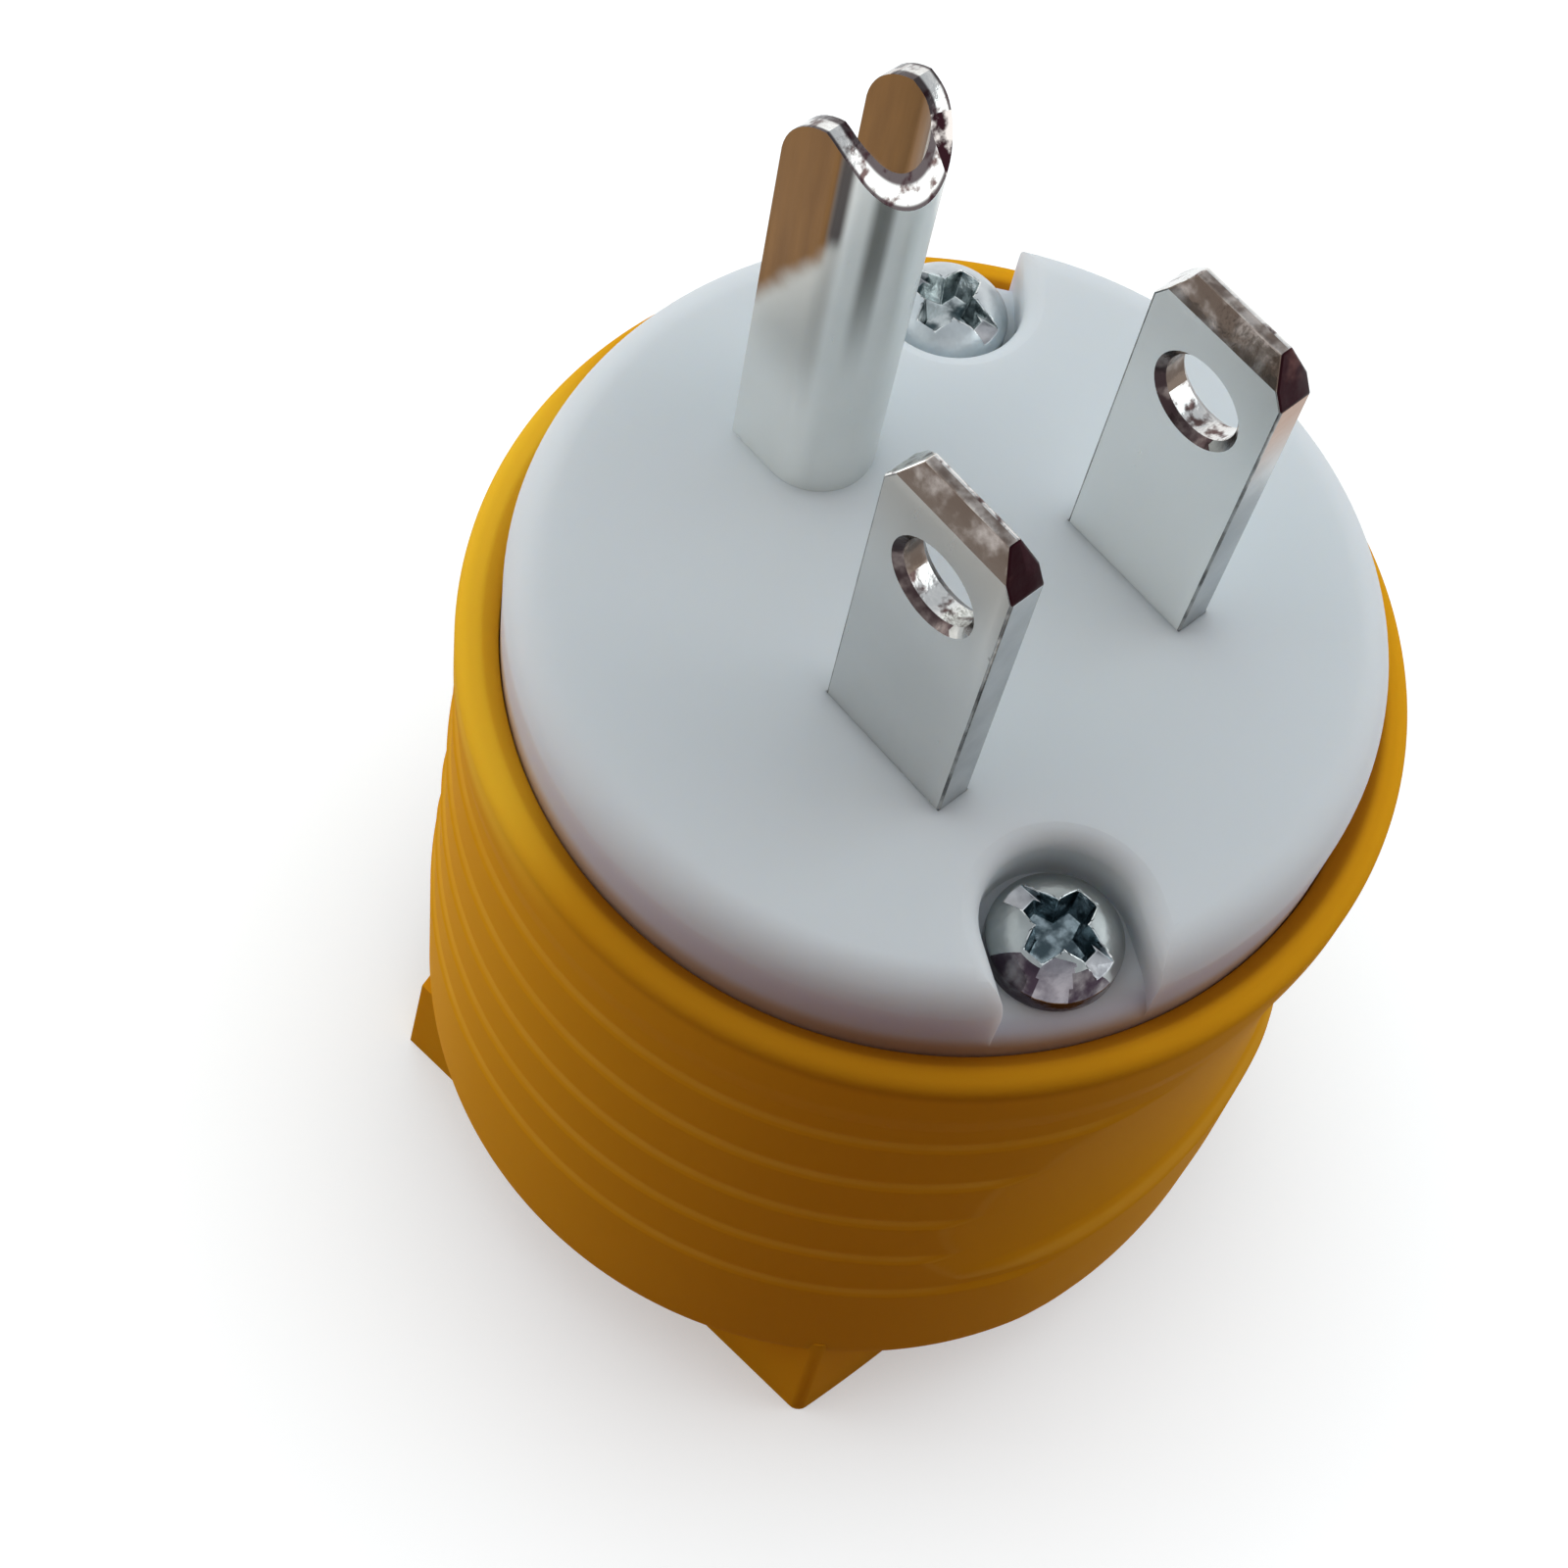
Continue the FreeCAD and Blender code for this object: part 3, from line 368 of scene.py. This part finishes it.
patch = (pin_nickel.step(height + depth * 1.85 + ragged, 70.8, 72.8)
         * (1 - pin_nickel.step(side, -2.0, -1.9)))
far_leg = pin_nickel.between(side, (1.2, 1.3), (1.75, 1.85)) * pin_nickel.step(height, 56, 58)
painted_shade_border = patch * pin_nickel.between(depth, (7.3, 7.6), (7.8, 8.2)) * pin_nickel.step(height, 57, 58.5)
brown = pin_nickel.blend(pin_nickel.noise(600, 4, stretch=(2, 2, 0.3)),
                         (0.11, 0.043, 0.005), (0.24, 0.11, 0.022))
pin_nickel.tint(painted_fold_streak * 0.75, (0.12, 0.115, 0.1))
pin_nickel.tint(upper * 0.75, (0.4, 0.39, 0.36))
pin_nickel.tint(lower * 0.65, (0.98, 0.98, 0.95))
pin_nickel.tint(patch * pin_nickel.step(depth, 7.7, 8.1) + far_leg, brown)
pin_nickel.tint(painted_shade_border * 0.9, (0.03, 0.02, 0.02))

# Painted glints on the coined rim, with painted dark reflections along both sides, so that only its middle
# glints.
# The sheet's middle line bends at a radius of 1.95 mm about a centre 8.34 mm from the plug's axis.
pin_rim = metal_tone_and_painted_light("pin_rim", *painted_glint)
from_middle = pin_rim.axis("X").hypot((8.34 - pin_rim.axis("Y")).at_least(0)) - 1.95
painted_dark_sides = (1 - pin_rim.step(from_middle, -0.2, -0.08)) + pin_rim.step(from_middle, 0.26, 0.36)
pin_rim.tint(painted_dark_sides * 0.92, (0.03, 0.012, 0.016))

pin = stamped("ground_pin", 0.25)
coining, far_side = 55, 1.2
split(pin, (far_side, 0, 0), (1, 0, 0))
finishes = (pin_nickel, pin_rim, painted_dark_glints)
# painted glints on the pin's coined ends, and painted dark reflections broken by glints on its far rim and
# lower ends
finish_faces(
    pin, finishes,
    (pin_rim, lambda at, way: at.z > coining and way.z > 0.12),
    (painted_dark_glints, lambda at, way: coining < at.z < 62.2 and (at.x > far_side or at.z < 58.4) and way.z > 0.12))
settled(pin, "ground_pin_plated", finishes, "ground_pin")


# The face is moulded in white nylon. Its rim is rounded, and two pockets that open through the
# rim give a screwdriver its way to the screws.
def outline(*corners, segments=8, longest=math.inf):
    """A bent line of (radius, height) corners, no run longer than given. A third number rounds one."""
    shape = bmesh.new()
    points = [Vector((corner[0], 0, corner[1])) for corner in corners]
    end = None
    for index, (here, corner) in enumerate(zip(points, corners)):
        if len(corner) == 2:
            start = last = shape.verts.new(here)
        else:
            before, after = ((points[index + way] - here).normalized() for way in (-1, 1))
            half = before.angle(after) / 2
            centre = here + (before + after).normalized() * corner[2] / math.sin(half)
            start = shape.verts.new(here + before * corner[2] / math.tan(half))
            arc = bmesh.ops.spin(shape, geom=[start], cent=centre, axis=after.cross(before),
                                 angle=math.pi - 2 * half, steps=segments)
            last = next(part for part in arc["geom_last"] if isinstance(part, bmesh.types.BMVert))
        if end is not None:
            shape.edges.new((end, start))
        end = last
    for edge in shape.edges[:]:
        cuts = math.ceil(edge.calc_length() / longest) - 1
        if cuts > 0:
            bmesh.ops.subdivide_edges(shape, edges=[edge], cuts=cuts)
    return shape


def lathed(shape, steps=180):
    """A bent line spun about the plug's axis."""
    bmesh.ops.spin(shape, geom=shape.verts[:] + shape.edges[:], cent=(0, 0, 0), axis=(0, 0, 1),
                   angle=math.tau, steps=steps, use_merge=True)
    bmesh.ops.remove_doubles(shape, verts=shape.verts, dist=0.0001)
    bmesh.ops.recalc_face_normals(shape, faces=shape.faces)
    return shape


def cut(shape, *cutters):
    """Cuts closed shapes out of a closed shape."""
    target = bpy.data.objects.new("target", bpy.data.meshes.new("target"))
    shape.to_mesh(target.data)
    shape.free()
    scene.collection.objects.link(target)
    for cutter in cutters:
        tool = bpy.data.objects.new("tool", bpy.data.meshes.new("tool"))
        bmesh.ops.recalc_face_normals(cutter, faces=cutter.faces)
        cutter.to_mesh(tool.data)
        cutter.free()
        scene.collection.objects.link(tool)
        carve = target.modifiers.new("carve", "BOOLEAN")
        carve.operation, carve.solver, carve.object = "DIFFERENCE", "EXACT", tool
        graph = bpy.context.evaluated_depsgraph_get()
        result = bpy.data.meshes.new_from_object(target.evaluated_get(graph))
        target.modifiers.clear()
        target.data = result
        bpy.data.objects.remove(tool)
    shape = bmesh.new()
    shape.from_mesh(target.data)
    bpy.data.objects.remove(target)
    return shape


def slab(low, high):
    """A box from its lowest to its highest corner."""
    shape = bmesh.new()
    bmesh.ops.create_cube(shape, size=1)
    low, high = Vector(low), Vector(high)
    bmesh.ops.scale(shape, vec=high - low, verts=shape.verts)
    bmesh.ops.translate(shape, vec=(low + high) / 2, verts=shape.verts)
    return shape


def turned(shape, angle, axis="Z"):
    """Turns a shape about the plug's axis, or about another axis through its foot."""
    bmesh.ops.rotate(shape, cent=(0, 0, 0), matrix=Matrix.Rotation(angle, 3, axis), verts=shape.verts)
    return shape


FACE = 43.0
POCKET = FACE - 2.8
RIM = 17.45
LIP_BORE = 18.05
SHOULDER = 35.4
SEAT = 34.0
SCREWS = ((14.25, math.radians(-116)), (14.25, math.radians(48.5)))


def drawn_out(shape, edges):
    """Extrudes edges, and gives the new edges and their points."""
    made = bmesh.ops.extrude_edge_only(shape, edges=edges)["geom"]
    return ([part for part in made if isinstance(part, bmesh.types.BMEdge)],
            [part for part in made if isinstance(part, bmesh.types.BMVert)])


def head_pocket(reach, angle, radius=3.1, soft=0.85, low=30):
    """A cutter for a screw pocket. Its wall flares where it meets the face, which rounds the edge."""
    shape = bmesh.new()
    bmesh.ops.create_circle(shape, cap_ends=True, segments=64, radius=radius)
    straight = split(shape, (0, 0, 0), (1, 0, 0), dist=0.0001, clear_outer=True)
    bmesh.ops.translate(shape, vec=(6, 0, 0), verts=drawn_out(shape, straight)[1])
    bmesh.ops.translate(shape, vec=(0, 0, low), verts=shape.verts)
    leans = [math.radians(14 * step) for step in range(7)]
    levels = [(radius + soft - soft * math.cos(lean), FACE - soft + soft * math.sin(lean)) for lean in leans]
    levels.append((levels[-1][0], FACE + 1))
    rim = [edge for edge in shape.edges if edge.is_boundary]
    wide, height = radius, low
    for wider, higher in levels:
        rim, verts = drawn_out(shape, rim)
        bmesh.ops.translate(shape, vec=(0, 0, higher - height), verts=verts)
        bmesh.ops.scale(shape, vec=(wider / wide, wider / wide, 1), verts=verts)
        wide, height = wider, higher
    bmesh.ops.holes_fill(shape, edges=rim)
    bmesh.ops.recalc_face_normals(shape, faces=shape.faces)
    bmesh.ops.translate(shape, vec=(reach, 0, 0), verts=shape.verts)
    return turned(shape, angle)


flange, hollow, underside = LIP_BORE - 0.02, 15.6, 37.8
face = lathed(outline((0, FACE), (RIM - 5, FACE), (RIM, FACE, 1.6), (RIM, SHOULDER), (flange, SHOULDER),
                      (flange, SEAT), (hollow, SEAT), (hollow, underside), (0, underside), segments=12))
pockets = []
for place in SCREWS:
    below_floor = outline((0, POCKET), (RIM, POCKET, 1.5), (RIM, 33), (0, 33), (0, POCKET))
    pockets.append(cut(head_pocket(*place), lathed(below_floor)))
half_thick, half_wide = 0.77, 3.185
slots = [slab((middle - half_thick, HOLE.x - half_wide, 30), (middle + half_thick, HOLE.x + half_wide, 50))
         for middle in (-BLADE, BLADE)]
face = cut(face, *pockets, *slots)
bmesh.ops.remove_doubles(face, verts=face.verts, dist=0.001)

white_nylon = Finish("white_nylon", Roughness=0.45, Specular_IOR_Level=0.25, Subsurface_Weight=0.6,
                     Subsurface_Scale=0.003, Subsurface_Radius=(1.0, 0.9, 0.8))
white_nylon.colour(white_nylon.noise(60, 3), (0.74, 0.82, 0.86), (0.77, 0.845, 0.88))
right, back, height = (white_nylon.axis(label) for label in "XYZ")
# painted shade: a cool grey-blue on the rim's side, below the face
on_rim = white_nylon.step(right.hypot(back), 16.4, 17.2) * 0.6
white_nylon.tint(on_rim * (1 - white_nylon.step(height, 40.5, 42.3)), (0.64, 0.68, 0.84))
# painted bounce light: the lip's yellow, thrown on the foot of the rim
white_nylon.tint(0.6 - white_nylon.step(height, 38.7, 39.8) * 0.6, (0.6, 0.4, 0.2))
white_nylon.relief(white_nylon.noise(1400, 3), 0.000006)
settled(face, "face_moulding", [white_nylon], "front_face")


# The face screws are steel, bright zinc plated, with a pan head that has a slot and a cross.
# They reach down through the face into square nuts in the shell.
def zinc_plate(name, dark, light):
    """Bright zinc, a little cloudy and hammered."""
    finish = Finish(name, Metallic=1.0)
    finish.colour(finish.noise(1500, 3), dark, light)
    finish.feed("Roughness", 0.28 + finish.noise(2400, 3) * 0.16)
    finish.relief(finish.noise(1700, 2), 0.00004)
    return finish


zinc = zinc_plate("zinc_plate", (0.34, 0.37, 0.37), (0.48, 0.5, 0.5))
# painted light: the far screw gets a brighter copy of the zinc
painted_lit_zinc = zinc_plate("painted_lit_zinc", (0.45, 0.49, 0.51), (0.75, 0.79, 0.81))
# painted shade in the near screw's recess, and painted light and glints in the far one's
near_recess = metal_tone_and_painted_light("zinc_recess", 0.42, 0.64, 1300, (0.07, 0.1, 0.115), (0.42, 0.51, 0.55))
far_recess = metal_tone_and_painted_light("bright_recess", 0.35, 0.6, 1000, (0.07, 0.1, 0.11), (0.75, 0.8, 0.8))
# painted shade round the heads' skirts, and on the near head's low side
skirt = metal_tone_and_painted_light("zinc_skirt", 0.45, 0.75, 900, (0.05, 0.035, 0.05), (0.32, 0.3, 0.31))
# painted glints on the heads' eased edges
lustre = metal_tone_and_painted_light("zinc_lustre", 0.35, 0.55, 1300, (0.35, 0.38, 0.38), (0.86, 0.88, 0.88), 0.12)
# painted shade, less dark, on one petal of the near head's low side
petal = metal_tone_and_painted_light("zinc_petal", 0.35, 0.65, 1000, (0.17, 0.155, 0.18), (0.36, 0.34, 0.37), 0.25)
# painted highlight on the slot's floor at its ends
slot_floor = metal_tone_and_painted_light("zinc_slot", 0.35, 0.65, 1000, (0.36, 0.36, 0.38), (0.62, 0.62, 0.64), 0.3)


ARM = 2.0
HEAD_EDGE = 2.65


def tapered_arm(angle):
    """A cutter for one bar of the cross. It narrows towards its floor and is wider in its middle."""
    arm = slab((-ARM, -0.54, 0.6), (ARM, 0.54, 3))
    lengthwise = [edge for edge in arm.edges if abs(edge.calc_length() - 2 * ARM) < 0.1]
    bmesh.ops.subdivide_edges(arm, edges=lengthwise, cuts=3)
    bmesh.ops.scale(arm, vec=(1, 1.5, 1), verts=[vert for vert in arm.verts if abs(vert.co.x) < 1.2])
    bmesh.ops.scale(arm, vec=(0.62, 0.6, 1), verts=[vert for vert in arm.verts if vert.co.z < 1])
    return turned(arm, angle)


def pan_head(reach, angle, turn, finishes, shaded):
    """A face screw with painted shade, highlights and glints. The shaded one has painted shade on its low
    side, less dark on one petal.
    """
    slot_depth, shank, length = 1.4, 1.5, 14
    shape = lathed(outline((0, 2.2), (1.95, 1.95, 1.9), (HEAD_EDGE, 0.95, 0.35), (HEAD_EDGE, 0, 0.12),
                           (shank, 0), (shank, -length), (0, -length)), steps=96)
    slot = slab((-4, -0.5, slot_depth), (4, 0.5, 3))
    shape = cut(shape, slot, tapered_arm(0), tapered_arm(math.radians(90)))
    recess = finishes[1]
    finish_faces(
        shape, finishes,
        (recess, lambda at, way: at.xy.length < ARM + 0.05 and 0.4 < at.z < 2.15 and way.z < 0.7),
        (recess, lambda at, way: at.xy.length < ARM + 0.05 and 0.4 < at.z < 1.2),
        (skirt, lambda at, way: at.xy.length > HEAD_EDGE - 0.2 and 0 < at.z < 0.9))
    if shaded:
        low_side, beside = (Matrix.Rotation(math.radians(way - turn), 2) @ Vector((1, 0))
                            for way in (218, 308))
        painted_shade_border = 1.35
        split(shape, (*low_side * painted_shade_border, 0), (*low_side, 0))
        finish_faces(
            shape, finishes,
            (skirt, lambda at, way: at.xy.dot(low_side) > painted_shade_border and at.xy.length > 1.85 and 0 < at.z < 1.9),
            (petal, lambda at, way: at.xy.dot(low_side) > painted_shade_border and abs(at.xy.dot(beside) - 0.15) < 0.65
             and at.z > 0.85))
    finish_faces(shape, finishes, (slot_floor, lambda at, way: abs(at.z - slot_depth) < 0.05
                                   and at.xy.length > 1.9 and way.z > 0.9))
    corners = [edge for edge in shape.edges if edge.is_manifold and edge.calc_face_angle() > math.radians(35)]
    for facet in ease(shape, corners, 0.06, 2, clamp=False):
        if facet.calc_center_median().z > 1.5:
            facet.material_index = finishes.index(lustre)
    turned(shape, math.radians(turn))
    seat = (reach * math.cos(angle), reach * math.sin(angle), POCKET)
    bmesh.ops.translate(shape, vec=seat, verts=shape.verts)
    return shape


for label, place, turn, plating, recess in (
        ("one", SCREWS[0], -82, zinc, near_recess), ("two", SCREWS[1], -77, painted_lit_zinc, far_recess)):
    finishes = (plating, recess, skirt, lustre, petal, slot_floor)
    head = pan_head(*place, turn, finishes, shaded=label == "one")
    settled(head, f"face_screw_{label}_plated", finishes, f"face_screw_{label}")


# The shell is moulded in yellow nylon. Rings step out below its lip for grip, two smooth scoops
# on opposite sides take the thumb and finger, and its rear block holds the cord.
SHELL_TURN = math.radians(6)
SHELL_FOOT = 7.0
SHELL_EDGE = 20.05
NECK = 19.05
LIP, LIP_TOP = 19.25, 38.8
PITCH = 4.05
LEDGES = [FACE - 10.4 - PITCH * step for step in range(5)]
SCOOP_CENTRE = 5.15
SCOOP_FOOT = 17.8
WAIST = 25.2
WAIST_REACH = 23.8
UPPER_FLARE, LOWER_FLARE = (0.62, 11.6), (0.4, 7.4)
CORD_BORE = 5.5
CLAMP_SCREWS = (-11, 11)


def scoop_reach(height):
    """The scoop's radius about its own axis, which lies beyond the plug's. It steps out at its foot."""
    if height > SCOOP_FOOT:
        flare, run = UPPER_FLARE if height > WAIST else LOWER_FLARE
        return WAIST_REACH + flare * ((height - WAIST) / run) ** 2
    below = SCOOP_FOOT - height
    if below < 0.6:
        return 24.2 + 0.52 * below / 0.6
    return 24.72 + 0.18 * min(1.0, (below - 0.6) / 6.2)


def press_scoops(shape, soft=0.06):
    """Moves the outer wall in to the scoops, with a soft crease at their borders."""
    for vert in shape.verts:
        wall = vert.co.xy.length
        if wall < 18.6 or not SHELL_FOOT < vert.co.z < 36.8:
            continue
        side = abs(vert.co.y) / wall
        reach = scoop_reach(vert.co.z)
        scoop = math.sqrt(reach ** 2 - SCOOP_CENTRE ** 2 * (1 - side ** 2)) - SCOOP_CENTRE * side
        near = max(0.0, soft - abs(wall - scoop)) / soft
        vert.co.xy *= (min(wall, scoop) - near * near * soft / 4) / wall


ring_corners = []
for step, height in reversed(list(enumerate(LEDGES))):
    low = NECK + 0.2 * (step + 1)
    ring_corners += [(low, height - 0.42, 0.4), (low - 0.2, height + 0.1, 0.3)]
shell = lathed(outline(
    (CORD_BORE, SHELL_FOOT), (19.35, SHELL_FOOT), (SHELL_EDGE, SHELL_FOOT, 0.7), *ring_corners,
    (NECK, 34.2, 3.0), (LIP, 35.73, 3.0), (LIP, LIP_TOP, 0.62), (18.2, LIP_TOP, 0.3), (17.5, 38.15, 0.2),
    (17.5, SHOULDER + 0.05), (LIP_BORE, SHOULDER + 0.05), (LIP_BORE, SEAT), (15.4, SEAT), (15.4, 23.0),
    (14.0, 23.0), (14.0, 15.0), (CORD_BORE, 10.0), (CORD_BORE, SHELL_FOOT), segments=6, longest=0.5),
    steps=360)
press_scoops(shell)


def rear_block(front, back, top):
    """Half of the block between two depths: drafted, gently bowed and eased at its corners."""
    wide, deep, bow = 16.1, 13.5, 1.6
    shape = slab((-wide, -deep, 0), (wide, deep, top))
    along = [edge for edge in shape.edges if abs(edge.verts[0].co.x - edge.verts[1].co.x) > 1]
    bmesh.ops.subdivide_edges(shape, edges=along, cuts=31, use_grid_fill=True)
    for vert in shape.verts:
        vert.co.y += math.copysign(bow * (1 - (vert.co.x / wide) ** 2), vert.co.y)
    draft = top * math.tan(math.radians(3.5))
    bmesh.ops.scale(shape, vec=(1 - draft / wide, 1 - draft / (deep + bow), 1),
                    verts=[vert for vert in shape.verts if vert.co.z > top / 2])
    upright = [edge for edge in shape.edges if abs(edge.verts[0].co.z - edge.verts[1].co.z) > 1
               and abs(edge.verts[0].co.x) > wide - 0.2]
    ease(shape, upright, 0.5, 5)
    for depth, way in ((front, -1), (back, 1)):
        opened = split(shape, (0, depth, 0), (0, way, 0), clear_outer=True)
        if opened:
            bmesh.ops.holes_fill(shape, edges=opened)
    return shape


def rod(radius, low, high, steps=64):
    """An upright round bar on the plug's axis."""
    shape = bmesh.new()
    bmesh.ops.create_cone(shape, cap_ends=True, segments=steps, radius1=radius, radius2=radius,
                          depth=high - low)
    bmesh.ops.translate(shape, vec=(0, 0, (low + high) / 2), verts=shape.verts)
    return shape


nut_pockets = [slab((x - 2.75, -7.4, -1), (x + 2.75, -5.0, 6.25)) for x in CLAMP_SCREWS]
half = cut(rear_block(-20, -0.0, 8.5), rod(CORD_BORE, -1, 9.5), *nut_pockets)
half_mesh = bpy.data.meshes.new("half")
half.to_mesh(half_mesh)
half.free()
shell.from_mesh(half_mesh)
turned(shell, SHELL_TURN)

yellow_nylon = Finish("yellow_nylon", Roughness=0.55, Specular_IOR_Level=0.005, Subsurface_Weight=0.15,
                      Subsurface_Scale=0.001, Subsurface_Radius=(1.0, 0.6, 0.1))
yellow_nylon.colour(yellow_nylon.noise(80, 4), (0.81, 0.38, 0.011), (0.87, 0.42, 0.016))
squared = yellow_nylon.node("Mapping", inputs={
    "Vector": yellow_nylon.place(), "Rotation": (0, 0, -SHELL_TURN), "Scale": (1000, 1000, 1000)})
right, back, height = (yellow_nylon.node("SeparateXYZ", inputs={"Vector": squared}, output=label)
                       for label in "XYZ")
radius = right.hypot(back)

# Painted highlights make the scoops' borders, the rings' edges and the crease at the scoops' foot pale.
above = (height - WAIST).at_least(0) / UPPER_FLARE[1]
below = (WAIST - height).at_least(0) / LOWER_FLARE[1]
reach = WAIST_REACH + above * above * UPPER_FLARE[0] + below * below * LOWER_FLARE[0]
outside = reach - right.hypot(back.size() + SCOOP_CENTRE)
edge = (yellow_nylon.between(outside, (0.0, 0.02), (0.03, 0.07))
        * yellow_nylon.between(height, (17.4, 17.8), (30, 32)))
from_ledge = (height - LEDGES[-1]).to_nearest(PITCH)
ring = ((1 - yellow_nylon.step(from_ledge, 0.08, 0.3)) * yellow_nylon.step(outside, 0.03, 0.3)
        * yellow_nylon.between(height, (15.8, 16), (33, 33.5)))
crease = (yellow_nylon.between(height, (17.0, 17.3), (17.5, 17.9))
          * (1 - yellow_nylon.step(outside, 0.02, 0.06)) * (1 - yellow_nylon.step(radius, 19.9, 20)))
painted_edge_highlights = (edge * 0.6 + ring + crease).at_least(0) * (0.05 + yellow_nylon.noise(300, 3) * 0.45)

# Painted light makes the lip brightest on one side, painted shade dulls it towards the camera, and painted
# shade turns it deep orange inside its bore.
painted_lit_side = yellow_nylon.step((back * 0.743 - right * 0.669) / radius, 0.7, 0.92)
painted_shade_side = yellow_nylon.step((right * -0.875 - back * 0.485) / radius, 0.6, 0.95)
bore = (1 - yellow_nylon.step(radius, 17.9, 18.55)) * yellow_nylon.step(height, 36, 38)
yellow_nylon.tint(painted_lit_side * yellow_nylon.step(height, 36, 37.5), (1.0, 0.58, 0.035))
yellow_nylon.tint(bore * (0.75 - painted_lit_side * 0.6), (0.4, 0.14, 0.01))
yellow_nylon.tint(painted_shade_side * yellow_nylon.step(height, 37.5, 38.4) * 0.4, (0.4, 0.16, 0.008))
yellow_nylon.tint(painted_edge_highlights, (1.0, 0.62, 0.1))
yellow_nylon.relief(yellow_nylon.noise(2200, 3), 0.000012)
settled(shell, "shell_moulding", [yellow_nylon], "shell", sharp=50)


# The clamp's jaw is the other half of the rear block, in the same nylon. Two screws pull it
# against the cord, and their heads sit in its round seats.
def laid(shape, x, z):
    """Lays an upright shape along Y, in line with a clamp screw."""
    turned(shape, math.radians(-90), "X")
    bmesh.ops.translate(shape, vec=(x, 0, z), verts=shape.verts)
    return shape


seats = [laid(rod(2.9, 9.5, 20), x, 3.5) for x in CLAMP_SCREWS]
passages = [laid(rod(1.6, -1, 20, 32), x, 3.5) for x in CLAMP_SCREWS]
jaw = cut(rear_block(0.0, 20, 7.0), rod(CORD_BORE, -1, 9.5), *seats, *passages)
turned(jaw, SHELL_TURN)
settled(jaw, "jaw_moulding", [yellow_nylon], "cord_jaw", sharp=50)


# The screws and nuts inside are plain hardware: zinc plated for the clamp and the face, and
# brass, nickel and green for the three terminals.
brass = Finish("screw_brass", Metallic=1.0)
brass.colour(brass.noise(900, 3), (0.72, 0.5, 0.2), (0.8, 0.6, 0.28))
brass.feed("Roughness", 0.25 + brass.noise(1500, 3) * 0.2)
green = Finish("screw_green", Metallic=0.6)
green.colour(green.noise(900, 3), (0.03, 0.2, 0.08), (0.05, 0.28, 0.11))
green.feed("Roughness", 0.3 + green.noise(1500, 3) * 0.2)

dress(zinc, "jaw_screw_one", "jaw_screw_two", "jaw_nut_one", "jaw_nut_two", "face_nut_one", "face_nut_two",
      "pressure_plate_hot", "pressure_plate_neutral", "pressure_plate_ground")
dress(brass, "terminal_screw_hot")
dress(blade_nickel, "terminal_screw_neutral")
dress(green, "terminal_screw_ground")


# The plug stands on a plain white sheet. Three soft lamps hang round it, and the room is pale
# above and warmer and dimmer towards the table.
floor = bpy.data.objects.new("floor", bpy.data.meshes.new("floor"))
sheet = bmesh.new()
bmesh.ops.create_grid(sheet, x_segments=1, y_segments=1, size=1.5)
sheet.to_mesh(floor.data)
sheet.free()
scene.collection.objects.link(floor)


def looked_at(finish):
    """1 for what the camera sees, straight or in a polished surface, and 0 for the light on the plug."""
    straight, glossy, through = (finish.node("LightPath", output=f"Is {kind} Ray")
                                 for kind in ("Camera", "Glossy", "Transmission"))
    return straight.at_least(glossy).at_least(through)


paper = Finish("paper", Roughness=0.9, Specular_IOR_Level=0.0, Emission_Strength=1.0)
seen = looked_at(paper)
# painted contact shadow: the floor's glow dims where the plug hems it in, on top of the lamps' own shadows
open_to_light = paper.node("AmbientOcclusion", {"samples": 4}, {"Distance": 0.022}, output="AO")
glow = paper.blend(paper.step(open_to_light, 0.35, 1.0), (0.36, 0.36, 0.36), (0.7, 0.7, 0.7))
paper.colour(seen, (0.42, 0.27, 0.26), (0.545, 0.61, 0.63))
paper.feed("Emission Color", paper.blend(seen, (0, 0, 0), glow))
floor.data.materials.append(paper.material)


def soft_lamp(name, place, size, power, colour):
    lamp = bpy.data.lights.new(name, "AREA")
    lamp.shape, lamp.size, lamp.energy, lamp.color = "DISK", size, power, colour
    light = bpy.data.objects.new(name, lamp)
    light.location = place
    light.rotation_euler = (Vector((0, 0, 0.03)) - light.location).to_track_quat("-Z", "Y").to_euler()
    light.visible_camera = False
    scene.collection.objects.link(light)


soft_lamp("lamp_behind", (-0.03, 0.085, 0.095), 0.2, 0.023, (0.87, 1.0, 1.0))
soft_lamp("lamp_right", (0.06, -0.045, 0.075), 0.1, 0.017, (0.9, 1.0, 1.02))
soft_lamp("lamp_left", (-0.06, 0.09, 0.055), 0.08, 0.016, (1.0, 0.96, 0.9))

scene.world = bpy.data.worlds.new("room")
room = Look(scene.world, "Background")
way = room.node("TexCoord", output="Generated")
bright_side = room.node("VectorMath", {"operation": "DOT_PRODUCT"}, {0: way, 1: (0.6, 0.75, 0.27)},
                        output="Value")
lighting = room.node("ValToRGB", {"stops": [
    (0.0, (0.012, 0.008, 0.008)), (0.33, (0.025, 0.016, 0.014)), (0.5, (0.68, 0.52, 0.48)),
    (0.75, (0.8, 0.83, 0.86)), (1.0, (0.74, 0.78, 0.82)),
]}, {"Fac": 0.5 + bright_side * 0.5})
height = room.node("SeparateXYZ", inputs={"Vector": way}, output="Z")
backdrop = room.blend(room.step(height, 0.3, 0.95), (1, 1, 1), (0.5, 0.53, 0.56))
room.feed("Color", room.blend(looked_at(room), lighting, backdrop))
